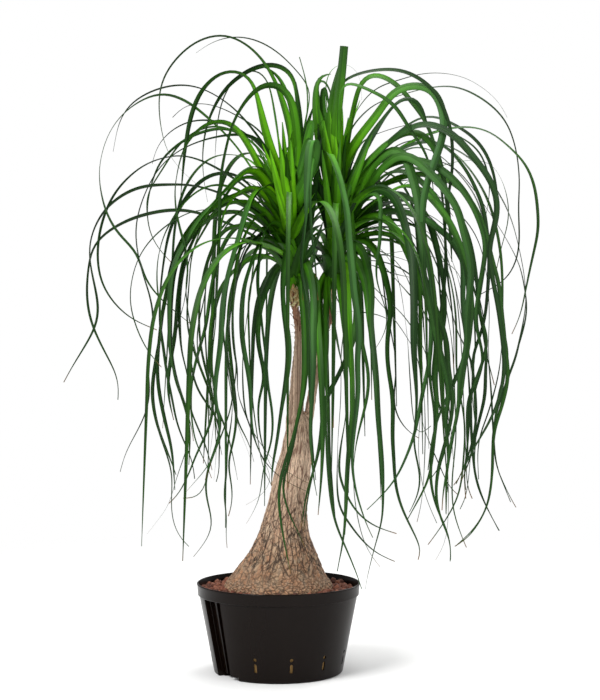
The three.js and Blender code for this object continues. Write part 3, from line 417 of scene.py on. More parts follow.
def potProfile():
    # radius and height pairs up the outside, over the rim and down the inside
    shape = potShape
    top, floor, corner = shape["height"], shape["floor"], shape["corner"]
    lip, edge = shape["lip"], shape["edge"]
    band = top - shape["bandHeight"]
    stepOut, stepDown = shape["bandStep"]
    rimIn, rimDown = shape["rimStep"]
    return [
        (0, 0),
        (shape["footRadius"] - corner - shape["flat"], 0),
        *rounded((wallAt(corner) - corner, corner), corner, -90, -8),
        *[(wallAt(height), height) for height in shape["wallRings"]],
        (wallAt(band) + stepOut, band - stepDown),
        (shape["bandRadius"] - stepOut, band),
        (shape["bandRadius"], band + edge),
        (shape["rimRadius"] - rimIn, top - lip - rimDown),
        *rounded((shape["rimRadius"] - lip, top - lip), lip, -10, 90),
        *rounded((innerWallAt(top) + edge, top - edge), edge, 90, 180, 2),
        *[(innerWallAt(height), height) for height in shape["innerRings"]],
        *rounded((innerWallAt(floor + corner) - corner, floor + corner), corner, 0, -90),
        (0, floor),
    ]


def drainCut(angle):
    # a round hole and, under it, a slot with its upper corners cut off
    shape, half = drain, drain["slotWidth"] / 2
    hole = []
    for side in range(shape["holeSides"]):
        turn = 2 * math.pi * side / shape["holeSides"]
        hole.append((shape["holeRadius"] * math.cos(turn),
                     shape["holeHeight"] + shape["holeRadius"] * math.sin(turn)))
    low, high, shoulder = shape["slotLow"], shape["slotHigh"], shape["slotHigh"] - half
    flat = half * shape["slotTop"]
    slot = [(-half, low), (half, low), (half, shoulder), (flat, high), (-flat, high), (-half, shoulder)]
    turn = math.radians(angle)
    out = Vector((math.sin(turn), -math.cos(turn), 0))
    aside = Vector((math.cos(turn), math.sin(turn), 0))
    cuts = []
    for label, outline in (("hole", hole), ("slot", slot)):
        middle = wallAt(sum(height for _, height in outline) / len(outline))
        points = [out * (middle + away) + aside * across + Vector((0, 0, height))
                  for away in (-shape["through"], shape["through"]) for across, height in outline]
        cuts.append(cleaned(meshObject(f"drain {label}", points, loftFaces(2, len(outline)))))
    return cuts


def plasticMaterial():
    look = mouldedPlastic
    material, tree, shader = newMaterial("mouldedPlastic", look["gloss"])
    scuffs = noisy(tree, **look["scuffs"])
    pits = noisy(tree, **look["pits"])
    color = mixed(tree, between(tree, scuffs, *look["wear"]), look["color"], look["worn"])
    tree.links.new(color, shader.inputs["Base Color"])
    tree.links.new(between(tree, scuffs, *look["roughness"]), shader.inputs["Roughness"])
    relief = maths(tree, "ADD", maths(tree, "MULTIPLY", pits, look["pitShare"]), scuffs)
    bumped(tree, shader, relief, *look["bump"])
    return material


def makePot():
    pot = revolved("nursery_pot", potProfile(), potShape["sides"])
    skin = potShape["wall"]
    added = recesses("skin", skin, lambda height: wallAt(height) - skin / 2, potShape["skinLow"])
    taken = recesses("cut", 0, lambda height: wallAt(height) + potShape["cutReach"], -1)
    spacing = 360 / (drain["count"] + 1)
    for place in range(1, drain["count"] + 1):
        taken += drainCut(drain["gapAt"] + place * spacing)
    cutWith(pot, added, "UNION")
    cutWith(pot, taken)
    halfTurn = math.degrees(channelRibs["width"] / 2 / potShape["footRadius"])

    def ribAt(height, out):
        return wallAt(height) - gaugeChannel["depth"] + out

    ribs = [
        sectorBlock(f"rib {k}", angle - halfTurn, angle + halfTurn,
                    lambda height: ribAt(height, -channelRibs["sunk"]),
                    lambda height: ribAt(height, channelRibs["depth"]),
                    channelRibs["low"], channelRibs["high"], steps=2)
        for k, angle in enumerate(channelRibs["turns"])
    ]
    cutWith(pot, ribs, "UNION")
    smoothed(painted(cleaned(pot), plasticMaterial()), potShape["sharpFrom"])
    return finished(pot, "pot_plastic", "pot")


makePot()


# Trunk: one corky body with a swollen foot and two stems

# rows of height, middle x, middle y and radius
footRows = [
    [70, 0, 0, 26], [76, 0, 0, 56], [92, -1, 0, 82], [118, -1, 0, 94], [145, -0.5, 0, 93.5],
    [169, 0.5, 0, 78.5], [199, 6, 0, 60.5], [228, 8, 0, 46.5], [258, 11, 0, 38.5], [297, 17, 0, 32.5],
    [337, 23.5, 0, 31], [376, 31, 0, 26.5], [396, 33, 0, 24.5], [425, 35, 0, 19], [440, 36, 0, 11],
]
leftStemRows = [
    [392, 27, 0, 14], [431, 28, 0, 15.3], [471, 31, -2, 12.8], [510, 33, -4, 11.3], [550, 36, -6, 9.5],
    [589, 35, -8, 7.5], [609, 31, -9, 6.5], [629, 28, -10, 5.8], [648, 27, -10, 7.4],
]
rightStemRows = [
    [385, 40, 2, 12], [420, 49, 5, 9.5], [460, 56, 9, 8.2], [500, 62, 13, 7.6], [560, 71, 18, 7.4],
    [600, 85, 22, 7.2], [648, 90, 25, 7.4],
]
barkShape = {
    "seed": 12,  # of the drift that makes the plates crooked
    "voxel": 1.6,
    "sides": 72,
    "stemSides": 36,
    "step": 6,
    # heights over which round plates give way to upright ones, and those to short dashes
    "upright": (146, 172),
    "dashes": (262, 350),
    "axisTop": 396,  # the cracks follow the middle of the foot up to here
    # plates between cracks: how wide and tall they are, how broad the cracks are next to them, how far
    # they stand out and how light the cracks are
    "pebbled": {"cell": 5.6, "tall": 7.5, "crack": 0.28, "relief": 1.5, "light": 0.05},
    "plated": {"cell": 7.4, "tall": 17, "crack": 0.3, "relief": 1.5, "light": 0.2},
    "dashed": {"cell": 4.8, "tall": 17, "crack": 0.2, "relief": 0.7, "light": 0.6},
    "crackEdge": 0.02,
    "crackLevel": 0.75,
    "patternStep": 2.9,  # from the pattern of one kind of plate to the next
    "drift": (0.8, 0.28),  # scale and amount
    "toneScale": 5.3,
    "plateRadius": 50,  # where the upright plates have the width given above
    # forms that are drawn out along the trunk; calm is how much weaker they are on the stems
    "fissure": {"around": 2.6, "shift": (5, 3), "tall": 52, "width": 0.055, "depth": 1.5, "dark": 0.85,
                "calm": 0.4},
    "opening": {"around": 3, "shift": (1, 8), "tall": 30, "range": (-0.1, 0.1)},
    "flutes": {"around": 3.2, "shift": (0, 0), "tall": 130, "push": 1.6, "calm": 0.6},
    "lumps": {"size": 14, "push": 0.5, "form": (0.7, 2.0, 3)},
    "scars": {"heights": (470, 560), "spacing": 8.5, "push": 0.55},
}
# fine cracks that the paint draws between plates: width and height of a plate, how crooked it is, and
# how far from a crack the paint is dark and then light
paintedCracks = {
    "pebbles": {"size": (4.8, 4.8, 6.2), "crooked": 0.9, "widths": (0.02, 0.15)},
    "plates": {"size": (7.2, 7.2, 13), "crooked": 1.1, "widths": (0.01, 0.085)},
    "fissures": {"size": (11, 11, 60), "crooked": 1.0, "widths": (0.01, 0.08)},
    "dashes": {"size": (4.2, 4.2, 13), "crooked": 1.3, "widths": (0.0, 0.10)},
}
barkColors = {
    "fissure": (0.028, 0.013, 0.006),
    "tan": (0.36, 0.220, 0.120),
    "orange": (0.37, 0.180, 0.085),
    "grey": (0.21, 0.148, 0.088),
    # pale: the stems' own light tan, raised further as painted light where the leaves shade them
    "pale": (0.95, 0.690, 0.500),
    "dash": (0.190, 0.092, 0.055),
    "stemTop": (0.60, 0.260, 0.150),
    "warmer": (1, 0.85, 0.65),
}
barkNoise = {
    "broad": {"scale": 26, "stretch": (1, 1, 0.5), "detail": 4},
    "speck": {"scale": 150, "stretch": (1, 1, 0.45), "detail": 4, "roughness": 0.65},
    "grain": {"scale": 330, "stretch": (1, 1, 0.16), "detail": 3, "roughness": 0.6},
}
# where a colour or a kind of crack lies: from and to of the height in metres or of the pattern that it
# follows, then the share of it at each of them
barkShares = {
    "upright": (0.15, 0.185),
    "dashes": (0.25, 0.36),
    "stems": (0.2, 0.36),
    "stemTop": (0.565, 0.605),
    "orange": (0.3, 0.6),
    "grey": (0.48, 0.66, 0.0, 0.8),
    "tan": (0.4, 0.65, 0.0, 0.4),
    "grain": (0.55, 0.64, 0.0, 0.5),
    "warmer": (0.3, 0.7, 0.0, 0.3),
    "faintDashes": (0.0, 1.0, 0.5, 1.0),
    "plates": (0.0, 0.85, 0.62, 1.0),
    "fineCracks": (0.0, 1.0, 0.22, 1.0),
    "fissures": (0.0, 1.0, 0.06, 1.0),
}
barkRelief = {"speck": 0.7, "grain": 0.5, "cracks": 0.6, "bump": (0.8, 0.0018)}


def tube(name, rows, sides, step):
    low, high = rows[0][0], rows[-1][0]
    count = round((high - low) / step)
    points = []
    for ring in range(count + 1):
        height, x, y, radius = rowAt(rows, lerp(low, high, ring / count))
        for side in range(sides):
            turn = 2 * math.pi * side / sides
            points.append((x + radius * math.cos(turn), y + radius * math.sin(turn), height))
    return meshObject(name, points, loftFaces(count + 1, sides))


def slopeLengths():
    # how far it is along the outline of the foot up to each whole millimetre of height
    low, high = footRows[0][0], footRows[-1][0]
    radii = [rowAt(footRows, height)[3] for height in range(low, high + 1)]
    return low, np.concatenate([[0], np.cumsum(np.hypot(1, np.diff(radii)))])


def cracks(spot, width, shift):
    # 0 in a crack and 1 on the plate beside it, then a tone of the plate's own
    spot = spot + Vector((shift,) * 3)
    driftScale, drift = barkShape["drift"]
    spot += noise.noise_vector(spot * driftScale) * drift
    distances, centres = noise.voronoi(spot)
    on = smoothstep(distances[1] - distances[0], barkShape["crackEdge"], width)
    return on, min(1.0, abs(noise.cell(centres[0] * barkShape["toneScale"])))


def drawnOut(pattern, ring, along):
    # noise that is drawn out along the trunk
    return noise.noise(ring * pattern["around"] + Vector((*pattern["shift"], along / pattern["tall"])))


def barkAt(point, slope):
    # how far the bark stands in or out at a point, how much of a plate it is, the plate's tone, and the
    # place of the point on the bark rolled out
    shape = barkShape
    low = 1 - smoothstep(point.z, *shape["upright"])
    high = smoothstep(point.z, *shape["dashes"])
    shares = {"pebbled": low, "plated": 1 - low - high, "dashed": high}
    _, axisX, axisY, _ = rowAt(footRows, min(point.z, shape["axisTop"]))
    turn = math.atan2(point.y - axisY, point.x - axisX)
    ring = Vector((math.cos(turn), math.sin(turn), 0))
    along = float(np.interp(point.z - slope[0], range(len(slope[1])), slope[1]))
    push, plate, tone = 0.0, 0.0, 0.0
    for index, (name, share) in enumerate(shares.items(), start=2):
        if share > 0:
            pattern = shape[name]
            cell, tall = pattern["cell"], pattern["tall"]
            if name == "plated":
                spot = ring * (shape["plateRadius"] / cell) + Vector((0, 0, along / tall))
            else:
                spot = Vector((point.x / cell, point.y / cell, point.z / tall))
            on, own = cracks(spot, pattern["crack"], index * shape["patternStep"])
            plate += share * lerp(pattern["light"], 1, on)
            push += share * pattern["relief"] * (on - shape["crackLevel"])
            tone += share * own
    fissure, opening, flutes, lumps, scars = (
        shape[name] for name in ("fissure", "opening", "flutes", "lumps", "scars"))
    opened = smoothstep(drawnOut(opening, ring, along), *opening["range"]) * (1 - low)
    line = opened * (1 - smoothstep(abs(drawnOut(fissure, ring, along)), 0, fissure["width"]))
    push -= line * fissure["depth"] * (1 - fissure["calm"] * high)
    plate *= 1 - fissure["dark"] * line
    push += flutes["push"] * drawnOut(flutes, ring, point.z) * (1 - flutes["calm"] * high)
    push += lumps["push"] * noise.fractal(point / lumps["size"], *lumps["form"])
    wave = math.sin(2 * math.pi * point.z / scars["spacing"])
    push += scars["push"] * smoothstep(point.z, *scars["heights"]) * wave
    return push, plate, tone, ring * shape["plateRadius"] + Vector((0, 0, along))


def crackLines(tree, place, pattern):
    # 0 in the cracks between the plates of a kind and 1 on the plates
    scaled = put(tree, "ShaderNodeVectorMath", {0: place, 1: pattern["size"]}, operation="DIVIDE").outputs[0]
    drift = put(tree, "ShaderNodeTexNoise", {"Vector": scaled, "Scale": 1.3, "Detail": 3.0}).outputs["Color"]
    moved = put(tree, "ShaderNodeVectorMath", {0: drift, 1: (pattern["crooked"],) * 3, 2: scaled},
                operation="MULTIPLY_ADD").outputs[0]
    plates = put(tree, "ShaderNodeTexVoronoi", {"Vector": moved, "Scale": 1.0}, feature="DISTANCE_TO_EDGE")
    return between(tree, plates.outputs["Distance"], *pattern["widths"])


def barkMaterial():
    material, tree, shader = newMaterial("corkyBark", {"Roughness": 0.82})
    colors = barkColors
    height = heightIn(tree)
    broad, speck, grain = (noisy(tree, **pattern) for pattern in barkNoise.values())
    place = put(tree, "ShaderNodeAttribute", attribute_name="barkPlace").outputs["Vector"]
    pebbles, plates, fissures, dashes = (crackLines(tree, place, kind) for kind in paintedCracks.values())

    def share(value, name):
        return between(tree, value, *barkShares[name])

    lower, upper = share(height, "upright"), share(height, "dashes")
    fine = blended(tree, lower, pebbles, plates)
    fine = blended(tree, upper, fine, share(dashes, "faintDashes"))
    fissures = blended(tree, lower, 1.0, fissures)
    # warm plates on the foot, pale stems, and rusty stem tops; the pale of the stems is partly their own
    # colour and partly painted light against the shade that the leaves cast
    warmth = maths(tree, "MULTIPLY", maths(tree, "ADD", attribute(tree, "tone"), broad), 0.5)
    foot = mixed(tree, share(warmth, "orange"), colors["tan"], colors["orange"])
    foot = mixed(tree, share(speck, "grey"), foot, colors["grey"])
    top = mixed(tree, share(broad, "tan"), colors["pale"], colors["tan"])
    top = mixed(tree, share(height, "stemTop"), top, colors["stemTop"])
    body = mixed(tree, share(height, "stems"), foot, top)
    body = mixed(tree, share(grain, "grain"), body, colors["dash"])
    body = mixed(tree, share(speck, "warmer"), body, mixed(tree, 0.5, body, colors["warmer"]))
    # cracks are darker than the plates
    dark = mixed(tree, upper, colors["fissure"], colors["dash"])
    for value, name in ((attribute(tree, "plate"), "plates"), (fine, "fineCracks"), (fissures, "fissures")):
        body = mixed(tree, share(value, name), dark, body)
    tree.links.new(body, shader.inputs["Base Color"])
    relief = maths(tree, "ADD", maths(tree, "MULTIPLY", speck, barkRelief["speck"]),
                   maths(tree, "MULTIPLY", grain, barkRelief["grain"]))
    sunk = maths(tree, "MULTIPLY", maths(tree, "MULTIPLY", fine, fissures), barkRelief["cracks"])
    bumped(tree, shader, maths(tree, "ADD", relief, sunk), *barkRelief["bump"])
    return material


def makeTrunk():
    bm = bmesh.new()
    for name, rows, sides in (("foot", footRows, "sides"), ("left stem", leftStemRows, "stemSides"),
                              ("right stem", rightStemRows, "stemSides")):
        part = tube(name, rows, barkShape[sides], barkShape["step"])
        bm.from_mesh(part.data)
        bpy.data.objects.remove(part)
    trunk = addedToScene("trunk_bark", meshFrom(bm, "trunk_bark"))
    together = trunk.modifiers.new("grow together", "REMESH")
    together.mode = "VOXEL"
    together.voxel_size = barkShape["voxel"] * mm
    baked(trunk)
    mesh = trunk.data
    slope = slopeLengths()
    # without a set seed this noise would differ from run to run
    noise.seed_set(barkShape["seed"])
    columns = {"plate": [], "tone": []}
    places, moved = [], []
    for vertex in mesh.vertices:
        push, plate, tone, place = barkAt(vertex.co / mm, slope)
        columns["plate"].append(plate)
        columns["tone"].append(tone)
        places.extend(place)
        moved.extend(vertex.co + vertex.normal * push * mm)
    mesh.vertices.foreach_set("co", moved)
    storeValues(mesh, columns)
    storeVectors(mesh, "barkPlace", places)
    mesh.update()
    mesh.shade_smooth()
    painted(trunk, barkMaterial())
    return finished(trunk, "bark", "trunk")


makeTrunk()


# Clay granules: a filling that reaches down to the pot's floor, and loose granules on top

claySettings = {
    "level": 137,  # of the filling, under the granules
    "seed": 97,
    "kinds": 6,
    "apart": 6.4,  # least distance between granules in a layer
    "densest": 60000,  # granules on a square metre
    "sizes": (3.6, 6.6),  # radii
    "layers": ((138, 93, 131), (141.5, 95, 130)),  # height, inner and outer radius
    "layerSides": 72,
    "innerLift": 2,  # a layer is this much higher beside the trunk
    "gap": 0.4,  # between the filling and the pot
    "trunkGap": 1,
    "trunkHeights": (136, 124, 112, 100, 92, 84, 76),
    "footLevel": 69,  # of the hollow's bottom
    "wallHeight": 70,  # of a point half up the filling's side
    "roomReach": 4,  # how far the blocks that make room for the recesses stick out of the wall
    "nodeSeeds": {"size": 3, "turn": 5, "tone": 11},
    "sides": 96,
    "sharpFrom": 40,
}
pebbleShape = {"points": 20, "goldenTurn": 2.39996, "uneven": 0.5, "reach": (0.82, 1.12), "flatness": 0.85}
clayLook = {
    "grains": ((0.0, (0.045, 0.012, 0.006)), (0.35, (0.145, 0.040, 0.019)),
               (0.8, (0.24, 0.085, 0.045)), (1.0, (0.085, 0.024, 0.012))),
    "dust": {"scale": 260, "detail": 5},
    "dusty": (0.35, 0.7, 0.0, 0.55),
    "dustColor": (0.12, 0.042, 0.022),
    "golden": (0.045, 0.06, 1.0, 0.0),  # heights in metres from and to, and how much painted light from the drain holes the filling has there
    "paintedHoleLight": (0.26, 0.15, 0.045),
    "pores": {"scale": 900, "detail": 4, "roughness": 0.7},
    "bump": (0.5, 0.001),
}


def clayMaterial():
    look = clayLook
    material, tree, shader = newMaterial("firedClay", {"Roughness": 0.85})
    base = ramp(tree, attribute(tree, "grainTone"), look["grains"])
    dusty = between(tree, noisy(tree, **look["dust"]), *look["dusty"])
    color = mixed(tree, dusty, base, look["dustColor"])
    # painted light: the filling is coloured golden low down, where light through the drain holes would reach
    # it
    color = mixed(tree, between(tree, heightIn(tree), *look["golden"]), color, look["paintedHoleLight"])
    tree.links.new(color, shader.inputs["Base Color"])
    bumped(tree, shader, noisy(tree, **look["pores"]), *look["bump"])
    return material


def pebble(index, draw):
    # one granule kind: the hull of a few points spread over a lumpy ball
    shape = pebbleShape
    bm = bmesh.new()
    for k in range(shape["points"]):
        height = 1 - 2 * (k + 0.5) / shape["points"]
        turn = k * shape["goldenTurn"] + draw() * shape["uneven"]
        flat = math.sqrt(1 - height * height)
        reach = lerp(*shape["reach"], draw())
        place = Vector((flat * math.cos(turn), flat * math.sin(turn), height * shape["flatness"]))
        bm.verts.new(place * reach)
    hull = bmesh.ops.convex_hull(bm, input=bm.verts)
    unused = [item for item in hull["geom_unused"] if isinstance(item, bmesh.types.BMVert)]
    bmesh.ops.delete(bm, geom=unused, context="VERTS")
    bmesh.ops.recalc_face_normals(bm, faces=bm.faces)
    mesh = meshFrom(bm, f"granule kind {index}")
    mesh.shade_smooth()
    return bpy.data.objects.new(mesh.name, mesh)


def granuleTree(material):
    # scatters the kinds over the faces it is given
    seeds = claySettings["nodeSeeds"]
    tree, given = newTree("scatterGranules", {"Apart": "Float", "Smallest": "Float", "Largest": "Float",
                                              "Seed": "Int", "Kinds": "Collection"})
    points = put(tree, "GeometryNodeDistributePointsOnFaces", {
        "Mesh": given["Geometry"], "Distance Min": given["Apart"], "Density Max": claySettings["densest"],
        "Seed": given["Seed"],
    }, distribute_method="POISSON")
    kinds = put(tree, "GeometryNodeCollectionInfo",
                {"Collection": given["Kinds"], "Separate Children": True, "Reset Children": True})
    size = put(tree, "FunctionNodeRandomValue",
               {2: given["Smallest"], 3: given["Largest"], "Seed": seeds["size"]})
    turn = put(tree, "FunctionNodeRandomValue",
               {0: (0, 0, 0), 1: (fullTurn,) * 3, "Seed": seeds["turn"]}, data_type="FLOAT_VECTOR")
    stones = put(tree, "GeometryNodeInstanceOnPoints", {
        "Points": points.outputs["Points"], "Instance": kinds.outputs[0], "Pick Instance": True,
        "Rotation": put(tree, "FunctionNodeEulerToRotation", {0: turn.outputs[0]}).outputs[0],
        "Scale": size.outputs[1],
    })
    tone = put(tree, "FunctionNodeRandomValue", {2: 0.0, 3: 1.0, "Seed": seeds["tone"]})
    toned = put(tree, "GeometryNodeStoreNamedAttribute",
                {"Geometry": stones.outputs[0], "Name": "grainTone", "Value": tone.outputs[1]},
                data_type="FLOAT", domain="INSTANCE")
    return endTree(tree, toned.outputs[0], material)


def makeGranules(material):
    draw = seededRandom(claySettings["seed"])
    kinds = bpy.data.collections.new("granule kinds")
    for index in range(claySettings["kinds"]):
        kinds.objects.link(pebble(index, draw))
    # flat rings that the granules are scattered over
    points, faces, sides = [], [], claySettings["layerSides"]
    for height, inner, outer in claySettings["layers"]:
        faces.extend(ringFaces(len(points), sides))
        for radius, level in ((inner, height + claySettings["innerLift"]), (outer, height)):
            points.extend(around(360 * k / sides, radius, level) for k in range(sides))
    loose = meshObject("loose_granules", points, faces)
    smallest, largest = claySettings["sizes"]
    grown(loose, granuleTree(material), {
        "Kinds": kinds, "Apart": claySettings["apart"] * mm, "Smallest": smallest * mm,
        "Largest": largest * mm, "Seed": claySettings["seed"],
    })
    return finished(loose, "clay")


def makeFilling(material):
    settings, corner = claySettings, potShape["corner"]
    gap, level, floor = settings["gap"], settings["level"], potShape["floor"] + settings["gap"]
    wall = [(innerWallAt(height) - gap, height)
            for height in (floor + corner, settings["wallHeight"], level)]
    hollow = [(rowAt(footRows, height)[3] + settings["trunkGap"], height)
              for height in settings["trunkHeights"]]
    profile = [(0, floor), (innerWallAt(floor) - gap - corner, floor), *wall,
               (hollow[0][0] + 1, level), *hollow, (0, settings["footLevel"])]
    filling = revolved("clay_filling", profile, settings["sides"])
    room = recesses("room", potShape["wall"] + gap, lambda height: wallAt(height) + settings["roomReach"], 0)
    cutWith(filling, room)
    smoothed(painted(cleaned(filling), material), settings["sharpFrom"])
    return finished(filling, "clay", "clay_granules")


firedClay = clayMaterial()
makeGranules(firedClay)
makeFilling(firedClay)


# Leaves: long blades that spring from the crown on each stem, arch and hang

# leafy part of each stem: rows of height, middle x, middle y and radius
leftCrownRows = [[648.4, 27, -10, 7], [672, 25, -10, 11], [710, 21, -11, 14], [760, 17, -12, 13],
                 [800, 14, -12, 8]]
rightCrownRows = [[648.4, 90, 25, 7], [675, 92, 25, 11], [720, 96, 26, 14], [780, 101, 27, 14],
                  [825, 104, 28, 8]]

bladeShape = {
    "spacing": 9,  # between the points of a blade
    "fewest": 14,  # steps from point to point
    "smoothing": 6,  # times that its path is smoothed
    "taper": 0.6,
    "swing": 0.6,  # share of the length over which a leaf reaches its depth
    "cutTaper": 0.3,  # share of its width that a cut leaf has lost at its top
    "untwist": 2.6,  # power that the turn follows
    "baseFlare": 0.45,
    "flareFade": 12,
    "leastHalf": 0.8,
    "thickness": 0.055,  # shares of half the width
    "gutter": 0.22,
    "gutterPower": 1.4,
    "profilePoints": 12,
    "wobble": (5, 0.5, 14),  # least degrees of twist along a leaf, growth with its tip's turn, and most
    "wobbleFrom": (0.1, 0.4),
    "waves": (1.2, 2.6),
    "openTurn": 68,  # least turn of a leaf's lower half, where its tip is turned by more than thinTurn
    "thinTurn": 18,
    "archShare": 0.6,  # share of its turn that such a leaf has over its arch
    "openFrom": (0.56, 0.86),
    "greyFrom": (120, 380),  # distances from the root between which a leaf turns darker and greyer
    "sharpFrom": 60,
}
bladeLight = {
    # the gain at the root is partly the leaves' own paler bases and partly painted light shining through the
    # crown
    "root": (0.3, 0.15, 0.3),  # gain of shade at the root, for a dark leaf too, and how far it reaches
    "fade": (0.25, 0.2),  # loss of shade along a leaf, and along one that hangs
    "hangingMost": 0.42,
    # painted sheen: part of a leaf over which its painted highlight grows in
    "paintedSheenFrom": (0.08, 0.3),
}
apart = {"samples": 80, "distance": 17, "steps": [0, 25, -25, 50, -50, 80, -80, 110, -110]}
trunkRoom = 12
eye = {"x": 37, "z": 550.5, "distance": 2600}  # where the leaf paths below are seen from

